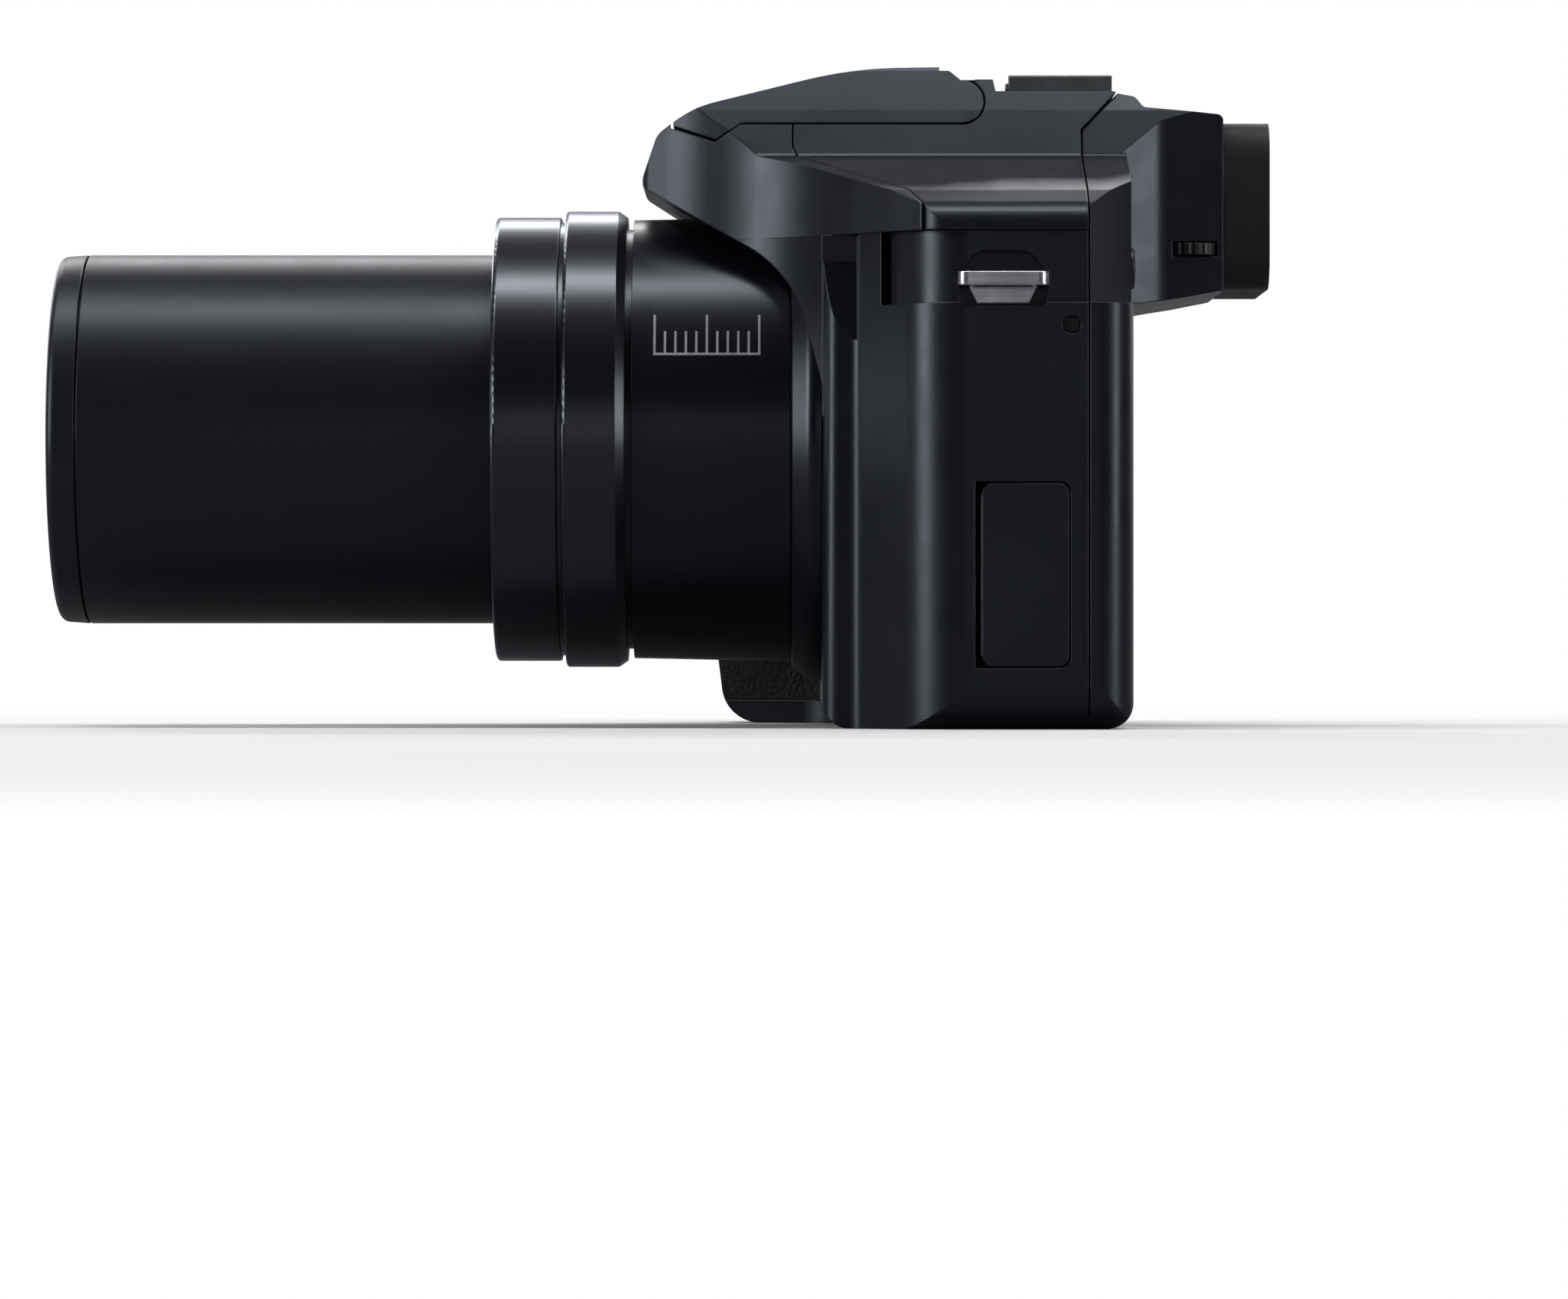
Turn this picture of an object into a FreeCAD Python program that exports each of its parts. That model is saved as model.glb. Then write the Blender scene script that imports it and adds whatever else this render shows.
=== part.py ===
import FreeCAD, Part
import math
import os
import re
import Sketcher
from FreeCAD import Placement, Rotation, Vector

# Bridge camera with a long zoom lens, in millimetres.
# The lens points along -Y, +Z is up, and +X is the side with the terminal door.
# The origin is the centre of the tripod socket's mouth, straight under the lens axis.

doc = FreeCAD.newDocument("BridgeCamera")
sheet = doc.addObject("Spreadsheet::Sheet", "Sizes")

# Driving dimensions, each a cell of the sheet.
SIZES = {
    # casing
    "axis_height": 42.7,
    "side_left": 53.0,
    "side_right": -74.2,
    "casing_front": -18.5,
    "casing_back": 25.9,
    "casing_wall": 2.2,
    "rear_seam": 19.3,
    "band_low": 60.8,
    "lip_height": 71.2,
    "deck_height": 79.0,
    "shoe_deck": 93.2,
    "hump_height": 96.9,
    "hump_half": 26.0,
    "shoulder_height": 83.2,
    "grip_front": -38.0,
    "seam_gap": 0.25,
    "button_gap": 0.25,
    "running_gap": 0.05,
    # lens
    "tube_front_radius": 32.6,
    "tube_back_radius": 33.1,
    "tube_front": -46.2,
    "tube_back": -22.9,
    "sleeve_radius": 31.2,
    "sleeve_bore": 30.2,
    "tube_ring_radius": 33.9,
    "tube_ring_front": -56.3,
    "tube_ring_back": -47.2,
    "front_ring_radius": 33.0,
    "front_ring_front": -66.7,
    "barrel_radius": 27.4,
    "barrel_bore": 26.4,
    "barrel_front": -127.1,
    "barrel_back": -54.0,
    "nose_front": -131.6,
    "filter_radius": 25.6,
    "glass_radius": 22.6,
    "zoom_travel": 60.5,
    "collar_radius": 36.0,
    "chassis_radius": 33.2,
    "chassis_bore": 31.9,
    "chassis_back": 9.0,
    "cam_radius": 29.8,
    "cam_bore": 28.7,
    "gear_module": 0.7,
    "cam_teeth": 88,
    "zoom_gear_teeth": 20,
    "zoom_gear_across": 25.3,
    "zoom_gear_up": 14.6,
    "motor_radius": 4.3,
    "hood_radius": 34.6,
    # flash
    "flash_seam": 88.3,
    "flash_hinge_along": 1.9,
    "flash_hinge_height": 91.6,
    "flash_eye_radius": 3.3,
    "flash_pin_radius": 0.9,
    # viewfinder
    "finder_half": 25.4,
    "finder_back": 40.3,
    "eyecup_back": 47.1,
    "eyecup_half": 20.4,
    # rear display
    "display_left": 47.0,
    "display_right": -20.5,
    "display_low": 7.0,
    "display_high": 59.0,
}
for row, (alias, value) in enumerate(SIZES.items(), start=1):
    sheet.set(f"A{row}", alias)
    sheet.set(f"B{row}", str(value))
    sheet.setAlias(f"B{row}", alias)
doc.recompute()

nodes = []
ALIAS = re.compile(r"\b(" + "|".join(SIZES) + r")\b")


def number(expression):
    """The value of an expression of the sheet's cells."""
    return float(sheet.evalExpression(str(expression)))


def bind(item, prop, expression):
    """Tie a property of an object to an expression of the sheet's cells."""
    item.setExpression(prop, ALIAS.sub(r"Sizes.\1", str(expression)))


# Outlines: each corner is (across, up), with two optional extras. The third value rounds the
# corner, the fourth bends the side that leaves it: the radius is positive for a bend that turns
# left and negative for one that turns right.


def arc_between(start, end, radius):
    """The shorter arc from start to end that turns left, or right for a negative radius."""
    chord = end - start
    middle = (start + end) * 0.5
    left = Vector(-chord.y, chord.x, 0).normalize()
    half = chord.Length / 2
    rise = abs(radius) - math.sqrt(radius * radius - half * half)
    top = middle - left * math.copysign(rise, radius)
    return Part.Arc(start, top, end)


def draw(sketch, corners):
    """Draw a closed outline with every corner, rounding and bend tied to the sheet."""
    corners = [tuple(corner) + (0,) * (4 - len(corner)) for corner in corners]
    points = [Vector(number(across), number(up), 0) for across, up, _, _ in corners]
    ends = []
    for index, (across, up, rounding, bend) in enumerate(corners):
        start = points[index]
        end = points[(index + 1) % len(points)]
        if bend == 0:
            side = sketch.addGeometry(Part.LineSegment(start, end))
            ends.append((side, 1, 2))
        else:
            side = sketch.addGeometry(arc_between(start, end, number(bend)))
            forward = sketch.Geometry[side].StartPoint.isEqual(start, 1e-4)
            ends.append((side, 1, 2) if forward else (side, 2, 1))
    for index in range(len(ends)):
        side, _, tail = ends[index]
        following, head, _ = ends[(index + 1) % len(ends)]
        sketch.addConstraint(Sketcher.Constraint("Coincident", side, tail, following, head))
    for index, (across, up, rounding, bend) in enumerate(corners):
        side, head, _ = ends[index]
        corner = points[index]
        for kind, value, place in (("DistanceX", across, corner.x), ("DistanceY", up, corner.y)):
            key = sketch.addConstraint(Sketcher.Constraint(kind, -1, 1, side, head, place))
            bind(sketch, f"Constraints[{key}]", value)
        if bend != 0:
            key = sketch.addConstraint(Sketcher.Constraint("Radius", side, abs(number(bend))))
            bind(sketch, f"Constraints[{key}]", f"abs({bend})")
    for index, (across, up, rounding, bend) in enumerate(corners):
        if rounding != 0:
            side, head, _ = ends[index]
            before = sketch.GeometryCount
            sketch.fillet(side, head, number(rounding), True, True)
            key = sketch.addConstraint(Sketcher.Constraint("Radius", before, number(rounding)))
            bind(sketch, f"Constraints[{key}]", rounding)
    return sketch


def rectangle(left, low, right, high, rounding=0):
    """The four corners of an upright rectangle."""
    return [(left, low, rounding), (right, low, rounding), (right, high, rounding), (left, high, rounding)]


# Whole forms: straight solids of an outline seen in plan (X, Y), from the front (X, Z) or from
# the side (Y, Z), joined and cut with each other.

VIEW_TURN = {
    "plan": Rotation(),
    "front": Rotation(Vector(1, 0, 0), 90),
    "side": Rotation(Vector(1, 1, 1), 120),
}
VIEW_AXIS = {"plan": Vector(0, 0, 1), "front": Vector(0, 1, 0), "side": Vector(1, 0, 0)}
VIEW_LETTER = {"plan": "z", "front": "y", "side": "x"}


def extrude(name, view, source, low, high):
    """A straight solid of a drawn outline from low to high."""
    solid = doc.addObject("Part::Extrusion", name)
    solid.Base = source
    solid.DirMode = "Custom"
    solid.Dir = VIEW_AXIS[view]
    solid.Solid = True
    bind(solid, "LengthFwd", f"({high}) - ({low})")
    return solid


def prism(name, view, corners, low, high):
    """A straight solid of an outline given by its corners."""
    sketch = doc.addObject("Sketcher::SketchObject", name + "_outline")
    sketch.Placement = Placement(Vector(), VIEW_TURN[view])
    bind(sketch, "Placement.Base." + VIEW_LETTER[view], low)
    draw(sketch, corners)
    return extrude(name, view, sketch, low, high)


def inset(name, view, solid, distance, low, high):
    """A straight solid of another's outline, drawn smaller all round."""
    smaller = doc.addObject("Part::Offset2D", name + "_outline")
    smaller.Source = solid.Base
    smaller.Join = 2
    bind(smaller, "Value", f"-({distance})")
    return extrude(name, view, smaller, low, high)


def common(name, *solids):
    """What all the solids share."""
    result = doc.addObject("Part::MultiCommon", name)
    result.Shapes = list(solids)
    return result


def fuse(name, *solids):
    """The solids joined into one."""
    result = doc.addObject("Part::MultiFuse", name)
    result.Shapes = list(solids)
    result.Refine = True
    return result


def cut(name, base, *tools):
    """The base without the tools."""
    tool = tools[0] if len(tools) == 1 else fuse(name + "_cutters", *tools)
    result = doc.addObject("Part::Cut", name)
    result.Base = base
    result.Tool = tool
    result.Refine = True
    return result


def rod(name, axis, radius, low, high, across="0", up="0"):
    """A round bar along X, Y or Z; across and up are its other two coordinates, in X, Y, Z order."""
    bar = doc.addObject("Part::Cylinder", name)
    turn = {"x": Rotation(Vector(0, 1, 0), 90), "y": Rotation(Vector(1, 0, 0), -90), "z": Rotation()}
    bar.Placement = Placement(Vector(), turn[axis])
    others = [letter for letter in "xyz" if letter != axis]
    bind(bar, "Radius", radius)
    bind(bar, "Height", f"({high}) - ({low})")
    bind(bar, "Placement.Base." + axis, low)
    bind(bar, "Placement.Base." + others[0], across)
    bind(bar, "Placement.Base." + others[1], up)
    return bar


def ball(name, radius, along):
    """A sphere centred on the lens axis."""
    item = doc.addObject("Part::Sphere", name)
    bind(item, "Radius", radius)
    bind(item, "Placement.Base.y", along)
    bind(item, "Placement.Base.z", "axis_height")
    return item


def node(item, label):
    """Name a finished sub-part."""
    item.Label = label
    nodes.append(item)
    return item


# Single pieces: bodies with their own sketches on their own origin planes.


def origin_plane(body, role):
    """One of the body's own three origin planes."""
    return next(plane for plane in body.Origin.OriginFeatures if plane.Role == role)


def new_body(label, across="0", along="0", up="0", turn=Rotation()):
    """An empty body at a named place."""
    body = doc.addObject("PartDesign::Body", label)
    body.Label = label
    body.Placement = Placement(Vector(), turn)
    for letter, value in (("x", across), ("y", along), ("z", up)):
        bind(body, "Placement.Base." + letter, value)
    return body


def sketch_on(body, role, corners=None, circles=(), offset="0"):
    """A sketch on an origin plane: an outline, circles given as (across, up, radius), or both."""
    sketch = body.newObject("Sketcher::SketchObject", body.Name + "_sketch")
    sketch.AttachmentSupport = [(origin_plane(body, role), "")]
    sketch.MapMode = "FlatFace"
    bind(sketch, "AttachmentOffset.Base.z", offset)
    if corners:
        draw(sketch, corners)
    for across, up, radius in circles:
        centre = Vector(number(across), number(up), 0)
        ring = sketch.addGeometry(Part.Circle(centre, Vector(0, 0, 1), number(radius)))
        for kind, value, place in (("DistanceX", across, centre.x), ("DistanceY", up, centre.y)):
            key = sketch.addConstraint(Sketcher.Constraint(kind, -1, 1, ring, 3, place))
            bind(sketch, f"Constraints[{key}]", value)
        key = sketch.addConstraint(Sketcher.Constraint("Radius", ring, number(radius)))
        bind(sketch, f"Constraints[{key}]", radius)
    return sketch


def pad(body, sketch, length, middle=False, back=False):
    """Material along the sketch's normal, to both sides or backwards if asked."""
    feature = body.newObject("PartDesign::Pad", body.Name + "_pad")
    feature.Profile = sketch
    feature.Reversed = back
    if middle:
        feature.SideType = "Symmetric"
    bind(feature, "Length", length)
    return feature


def pocket(body, sketch, length, middle=False, back=False):
    """A cut against the sketch's normal, to both sides or forwards if asked."""
    feature = body.newObject("PartDesign::Pocket", body.Name + "_pocket")
    feature.Profile = sketch
    feature.Reversed = back
    if middle:
        feature.SideType = "Symmetric"
    bind(feature, "Length", length)
    return feature


def revolve(body, sketch, axis="H_Axis"):
    """The sketch turned once round one of its own axes."""
    feature = body.newObject("PartDesign::Revolution", body.Name + "_turned")
    feature.Profile = sketch
    feature.ReferenceAxis = (sketch, [axis])
    feature.Angle = 360
    return feature


def turned_about_lens(label, corners):
    """A ring or tube round the lens axis; corners are (distance along Y, radius)."""
    body = new_body(label, up="axis_height")
    revolve(body, sketch_on(body, "YZ_Plane", corners))
    return body


def turned_upright(label, corners, across, along, up, turn=Rotation()):
    """A round piece on an upright axis; corners are (radius, height above its foot)."""
    body = new_body(label, across, along, up, turn)
    revolve(body, sketch_on(body, "XZ_Plane", corners), "V_Axis")
    return body


def repeat_round(body, feature, times):
    """Repeat a feature all round the normal of its own sketch."""
    pattern = body.newObject("PartDesign::PolarPattern", body.Name + "_pattern")
    pattern.Originals = [feature]
    pattern.Axis = (feature.Profile[0], ["N_Axis"])
    pattern.Angle = 360
    pattern.Occurrences = times
    body.Tip = pattern


def flute(body, ring_radius, radius, foot, height, times):
    """Cut upright round flutes into the rim of a dial."""
    sketch = sketch_on(body, "XY_Plane", circles=[("0", ring_radius, radius)], offset=foot)
    repeat_round(body, pocket(body, sketch, height, back=True), times)


# The casing's outer form. The lower part follows the hand-filling plan with a neck round the lens,
# a hollow beside it and a full side; the upper part is the brow that widens from the hood's tip to
# the shoulders; the grip stands out in front of the right-hand end.

front_profile = [
    ("side_left", "0", 6),
    ("side_left", "lip_height + 2.8", 5),
    ("46", "77.2", 6),
    ("hump_half", "shoulder_height", 1.5),
    ("21.5", "90.3", 3),
    ("16", "hump_height + 1.5", 5),
    ("-16", "hump_height + 1.5", 5),
    ("-21.5", "90.3", 3),
    ("-hump_half", "shoulder_height - 1", 2),
    ("-29.5", "deck_height", 3),
    ("side_right", "deck_height", 8),
    ("side_right", "0", 6),
]
lower_plan = [
    ("-34", "casing_front", 3),
    ("37.6", "casing_front", 3),
    ("38.6", "-13.6", 3),
    ("side_left", "-3", 12),
    ("side_left", "casing_back", 5),
    ("side_right", "casing_back", 9),
    ("side_right", "-12", 6),
    ("-38", "-12", 4),
]
upper_plan = [
    ("15.6", "-44.9", 2.5),
    ("20.6", "-38.5", 30),
    ("hump_half + 1", "-24.5", 40),
    ("40.0", "-14.0", 20),
    ("46.6", "-8.2", 20),
    ("side_left", "-2.4", 5),
    ("side_left", "casing_back", 5),
    ("side_right", "casing_back", 9),
    ("side_right", "-16", 6),
    ("-43.5", "-14", 8),
    ("-hump_half - 1", "-24.5", 40),
    ("-20.6", "-38.5", 30),
    ("-15.6", "-44.9", 2.5),
]
side_profile = [
    ("casing_back", "0", 4),
    ("casing_back", "shoe_deck", 2),
    ("7.0", "shoe_deck"),
    ("6.6", "95.0"),
    ("2.4", "95.0"),
    ("-0.6", "hump_height", 1.5),
    ("-14", "hump_height - 0.2", 60),
    ("-37.3", "90.7", 20),
    ("-42.6", "87.0", 3),
    ("-45.2", "79.6", 1.5),
    ("-37.6", "75.0", 20),
    ("-23.0", "66.5", 18),
    ("casing_front", "50", 12),
    ("casing_front", "0", 4),
]
grip_plan = [
    ("side_right", "casing_back", 9),
    ("side_right", "-26", 9),
    ("-66", "grip_front", 8),
    ("-55", "grip_front", 8),
    ("-46", "-16", 12),
    ("-38", "-13"),
    ("-38", "casing_back"),
]
grip_profile = [
    ("casing_back", "0", 4),
    ("casing_back", "deck_height + 1"),
    ("-12", "deck_height + 1", 20),
    ("grip_front + 4", "73.4", 5),
    ("grip_front", "66", 12),
    ("grip_front + 2.5", "20", 30),
    ("grip_front + 5", "0", 6),
]

front_view = prism("front_view", "front", front_profile, "-60", "40")
lower_view = prism("lower_view", "plan", lower_plan, "-1", "lip_height")
upper_view = prism("upper_view", "plan", upper_plan, "lip_height", "120")
hood_plan = [
    ("15.6", "-44.9", 2.5),
    ("20.6", "-38.5", 30),
    ("hump_half + 1", "-24.5", 30),
    ("36.2", "casing_front"),
    ("36.2", "-12"),
    ("-36.2", "-12"),
    ("-36.2", "casing_front"),
    ("-hump_half - 1", "-24.5", 30),
    ("-20.6", "-38.5", 30),
    ("-15.6", "-44.9", 2.5),
]
hood_view = prism("hood_view", "plan", hood_plan, "45", "lip_height")
side_view = prism("side_view", "side", side_profile, "-90", "70")
grip_view = prism("grip_view", "plan", grip_plan, "-1", "120")
grip_side_view = prism("grip_side_view", "side", grip_profile, "-90", "-37")

cheek_profile = [("38.6", "56"), ("70", "56"), ("70", "90"), ("31.5", "90")]
cheek = prism("cheek", "front", cheek_profile, "-30", "-13.4")
plans = fuse("plans", cut("lower_form", lower_view, cheek), hood_view, upper_view)
block_form = common("block_form", plans, front_view, side_view)
grip_form = common("grip_form", grip_view, front_view, grip_side_view)
lens_space = rod("lens_space", "y", "hood_radius", "-60", "casing_front", "0", "axis_height")

# Behind the rear seam the upper corner falls back towards the viewfinder, and the left side is
# drawn in under the lip, where the strap lug sits.

rear_bevel_plan = [("51.8", "rear_seam"), ("60", "rear_seam"), ("60", "30"), ("38", "30"), ("38", "27.6")]
rear_bevel = prism("rear_bevel", "plan", rear_bevel_plan, "band_low", "95")
lug_band = cut(
    "lug_band",
    prism("lug_band_slab", "side", rectangle("-10", "band_low", "rear_seam", "lip_height"), "40", "60"),
    inset("lug_band_core", "plan", lower_view, "1.4", "-1", "119"),
)
closed_form = fuse("closed_form", block_form, grip_form)
outer_form = cut("outer_form", closed_form, lens_space, rear_bevel, lug_band)


# The hollow inside the casing: each outline drawn smaller by the wall, except under the flash,
# where a solid block is kept for the well that the flash folds into.

cavity_front = inset("cavity_front", "front", front_view, "casing_wall", "-60", "40")
cavity_block = common(
    "cavity_block",
    inset("cavity_plan", "plan", lower_view, "casing_wall", "-1", "119"),
    inset("cavity_side", "side", side_view, "casing_wall", "-90", "70"),
    cavity_front,
)
cavity_grip = common(
    "cavity_grip",
    inset("cavity_grip_plan", "plan", grip_view, "casing_wall", "-1", "119"),
    inset("cavity_grip_side", "side", grip_side_view, "casing_wall", "-90", "-37"),
    cavity_front,
)
well_profile = [
    ("-40", "77.3"),
    ("-23.5", "77.3"),
    ("-22.5", "85.2"),
    ("1", "85.2"),
    ("9", "87"),
    ("9", "99"),
    ("-40", "99"),
]
cheek_wall_profile = [("36.4", "53"), ("70", "53"), ("70", "90"), ("29.3", "90")]
bevel_wall_plan = [("50.6", "17.4"), ("60", "17.4"), ("60", "30"), ("37.6", "30"), ("37.6", "25.1")]
lug_block_outline_left = rectangle("-12", "59", "18.6", "72")
lug_block_outline_right = rectangle("-0.8", "58.4", "20.6", "72")
solid_places = [
    prism("well_block", "side", well_profile, "-27", "27"),
    prism("lug_block_left", "side", lug_block_outline_left, "side_left - 5.8", "side_left"),
    prism("lug_block_right", "side", lug_block_outline_right, "side_right", "side_right + 5.4"),
    prism("cheek_wall", "front", cheek_wall_profile, "-30", "-11.2"),
    prism("bevel_wall", "plan", bevel_wall_plan, "band_low - 2", "95"),
]
cavity = cut("cavity", fuse("cavities", cavity_block, cavity_grip), *solid_places)

# The flash folds into a well behind the hood's lip. Its reflector box hangs lower than its sides,
# and an ear at each side reaches back to the hinge pin.

flash_profile = [
    ("-40.2", "100"),
    ("-40.2", "88.1"),
    ("-34.0", "85.9"),
    ("-30.2", "flash_seam"),
    ("-1.3", "flash_seam"),
    ("-1.2", "100"),
]
flash_box_profile = [("-40.0", "87.9"), ("-34.4", "79.8"), ("-27.0", "79.8"), ("-26.0", "90"), ("-38", "92")]
window_profile = [("-39.6", "87.35"), ("-35.0", "80.68"), ("-33.85", "81.48"), ("-38.45", "88.15")]
hollow_profile = [("-24.5", "82"), ("-4.5", "82"), ("-4.5", "92.5"), ("-24.5", "91.5")]
well_cut_profile = [
    ("-40.6", "100"),
    ("-40.6", "87.8"),
    ("-34.2", "85.5"),
    ("-30.3", "flash_seam - seam_gap"),
    ("-0.9", "flash_seam - seam_gap"),
    ("-0.9", "92.6"),
    ("1.0", "95.0"),
    ("2.6", "95.0"),
    ("2.6", "100"),
]
box_cut_profile = [
    ("-40.7", "88.5"),
    ("-40.7", "87.0"),
    ("-35.0", "79.2"),
    ("-26.2", "79.2"),
    ("-25.2", "89"),
    ("-38", "91"),
]
ear_profile = [
    ("-2.4", "flash_seam"),
    ("flash_hinge_along", "flash_seam"),
    ("flash_hinge_along", "flash_hinge_height + flash_eye_radius"),
    ("0.4", "96.2"),
    ("-2.4", "98"),
]
ear_cut_profile = [
    ("-2.4", "flash_seam - seam_gap"),
    ("flash_hinge_along", "flash_seam - seam_gap"),
    ("flash_hinge_along + 2.1", "flash_hinge_height + 2.7"),
    ("flash_hinge_along + 2.1", "98"),
    ("-2.4", "98"),
]
flash_hinge = ("flash_hinge_along", "flash_hinge_height")
ear_forms = []
ear_cuts = []
for side, sign in (("left", ""), ("right", "-")):
    low, high = sorted((f"{sign}17.4", f"{sign}26"), key=float)
    ear_forms.append(prism("ear_" + side, "side", ear_profile, low, high))
    ear_forms.append(rod("ear_eye_" + side, "x", "flash_eye_radius", low, high, *flash_hinge))
    low, high = sorted((f"{sign}17.1", f"{sign}27"), key=float)
    ear_cuts.append(prism("ear_cut_" + side, "side", ear_cut_profile, low, high))
    ear_cuts.append(rod("ear_eye_cut_" + side, "x", "flash_eye_radius + 0.3", low, high, *flash_hinge))
flash_sides = prism("flash_sides", "side", flash_profile, "-40", "40")
flash_box = prism("flash_box", "side", flash_box_profile, "-18", "18")
flash_window = prism("flash_window", "side", window_profile, "-15.5", "15.5")
flash_hollow = prism("flash_hollow", "side", hollow_profile, "-17.5", "17.5")
flash_zone = fuse(
    "flash_zone",
    prism("well_cut", "side", well_cut_profile, "-40", "40"),
    prism("box_cut", "side", box_cut_profile, "-18.6", "18.6"),
    *ear_cuts,
)
flash_pin_hole = rod("flash_pin_hole", "x", "flash_pin_radius + running_gap", "-19.4", "19.4", *flash_hinge)
flash_pin = rod("flash_pin", "x", "flash_pin_radius", "-19.2", "19.2", *flash_hinge)
flash_parts = fuse("flash_parts", flash_sides, flash_box, *ear_forms)
flash_form = common("flash_form", flash_parts, outer_form)
node(cut("flash_head_solid", flash_form, flash_window, flash_hollow, flash_pin_hole), "flash_head")
node(flash_window, "flash_window")
node(flash_pin, "flash_pin")

# Seams. The top cover is let into the front cover's rim along the brow and meets it at the lip
# above the strap lugs; the rear cover begins behind both.

top_plan = [
    ("25", "-22.6"),
    ("38.4", "-12.1"),
    ("45.2", "-6.4"),
    ("60", "-0.2"),
    ("60", "60"),
    ("-90", "60"),
    ("-90", "-50"),
    ("-45.5", "-50"),
    ("-45.5", "-12.6"),
    ("-41.5", "-12.6"),
    ("-25", "-22.6"),
]
top_side = [
    ("-60", "lip_height"),
    ("rear_seam", "lip_height"),
    ("rear_seam", "87.4"),
    ("24.6", "93.0"),
    ("24.6", "120"),
    ("-60", "120"),
]
top_plan_view = prism("top_plan_view", "plan", top_plan, "lip_height", "120")
top_side_view = prism("top_side_view", "side", top_side, "-90", "70")
top_region = common("top_region", top_plan_view, top_side_view)
top_plan_cut = inset("top_plan_cut", "plan", top_plan_view, "-seam_gap", "lip_height", "120")
front_region = prism("front_region", "side", rectangle("-60", "-2", "rear_seam", "99"), "-90", "70")
lip_slice = prism("lip_slice", "side", rectangle("-60", "lip_height - seam_gap", "60", "120"), "-90", "70")
rear_side = [
    ("rear_seam + seam_gap", "-5"),
    ("60", "-5"),
    ("60", "120"),
    ("24.6 + seam_gap", "120"),
    ("24.6 + seam_gap", "93.0"),
    ("rear_seam + seam_gap", "87.4"),
]
rear_region = prism("rear_region", "side", rear_side, "-90", "70")

# What is let into the casing: each piece takes its outer skin from the casing's own form.

finder_side = [
    ("rear_seam + seam_gap", "61.6"),
    ("28", "61.9"),
    ("34.6", "62.9"),
    ("finder_back", "64.0"),
    ("finder_back", "89.7", 1),
    ("28.6", "90.8", 1),
    ("27.4", "92.4", 1),
    ("24.6 + seam_gap", "92.9"),
    ("rear_seam + seam_gap", "87.4"),
]
finder_plan = [
    ("finder_half", "19"),
    ("finder_half", "24.5", 2),
    ("eyecup_half + 1.6", "31", 6),
    ("eyecup_half", "finder_back"),
    ("-eyecup_half", "finder_back"),
    ("-eyecup_half - 1.6", "31", 6),
    ("-finder_half", "24.5", 2),
    ("-finder_half", "19"),
]
finder_front = [
    ("finder_half", "61", 3),
    ("finder_half", "shoulder_height", 2),
    ("21", "90.3", 3),
    ("16", "97", 3),
    ("-16", "97", 3),
    ("-21", "90.3", 3),
    ("-finder_half", "shoulder_height", 2),
    ("-finder_half", "61", 3),
]
finder_form = common(
    "finder_form",
    prism("finder_side_view", "side", finder_side, "-40", "40"),
    prism("finder_plan_view", "plan", finder_plan, "50", "110"),
    prism("finder_front_view", "front", finder_front, "10", "50"),
)
finder_opening = rectangle("-12.5", "69", "12.5", "85", 3)
finder_tunnel = prism("finder_tunnel", "front", finder_opening, "15", "60")
finder_chamber = prism("finder_chamber", "front", rectangle("-18", "66", "18", "86.5", 3), "15", "34.5")
dioptre_slot = rod("dioptre_slot", "z", "4.3", "68.9", "71.1", "18.4", "35.6")
node(cut("finder_solid", finder_form, finder_tunnel, finder_chamber, dioptre_slot), "viewfinder_housing")
finder_zone_front = rectangle("-finder_half - seam_gap", "61.6 - seam_gap", "finder_half + seam_gap", "120")
finder_zone_side = [
    ("rear_seam + 0.1", "61"),
    ("60", "61"),
    ("60", "120"),
    ("24.6 + 0.1", "120"),
    ("24.6 + 0.1", "93.0"),
    ("rear_seam + 0.1", "87.4"),
]
finder_zone = common(
    "finder_zone",
    prism("finder_zone_front", "front", finder_zone_front, "rear_seam", "60"),
    prism("finder_zone_side", "side", finder_zone_side, "-40", "40"),
)

rubber_side = [
    ("-50", "3.5"),
    ("4", "3.5", 6),
    ("8", "20", 20),
    ("8", "52", 6),
    ("-2", "66", 8),
    ("-50", "66"),
]
rubber_zone = common(
    "rubber_zone",
    prism("rubber_side_view", "side", rubber_side, "-90", "-46.2"),
    cut("rubber_skin", grip_form, inset("rubber_core", "plan", grip_view, "1.2", "-1", "119")),
)
node(rubber_zone, "grip_rubber")

thumb_outline = [("-69", "36", 5), ("-51.5", "36", 5), ("-49.5", "52", 6), ("-54", "66", 5), ("-69", "66", 5)]
thumb_form = common(
    "thumb_form",
    inset("thumb_plan", "plan", grip_view, "-1.1", "-1", "119"),
    prism("thumb_view", "front", thumb_outline, "16", "40"),
)
node(cut("thumb_solid", thumb_form, outer_form), "thumb_rest")

bottom_view = inset("bottom_view", "plan", lower_view, "3.6", "-1", "2.2")
bottom_corners = rectangle("-40", "-30", "60", "40")
bottom_limit = prism("bottom_limit", "plan", bottom_corners, "-1", "2.2")
bottom_zone = common("bottom_zone", bottom_view, bottom_limit)
bottom_view_cut = inset("bottom_view_cut", "plan", lower_view, "3.6 - seam_gap", "-1", "2.3")
bottom_cut_corners = rectangle("-40 - seam_gap", "-30", "60", "40")
bottom_limit_cut = prism("bottom_limit_cut", "plan", bottom_cut_corners, "-1", "2.3")
bottom_cut = common("bottom_cut", bottom_view_cut, bottom_limit_cut)
bush_hole = rod("bush_hole", "z", "5.2", "-1", "3")
screw_places = [("44", "14"), ("44", "-6"), ("-33", "16"), ("14", "18")]
screw_holes = []
screw_heads = []
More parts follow.
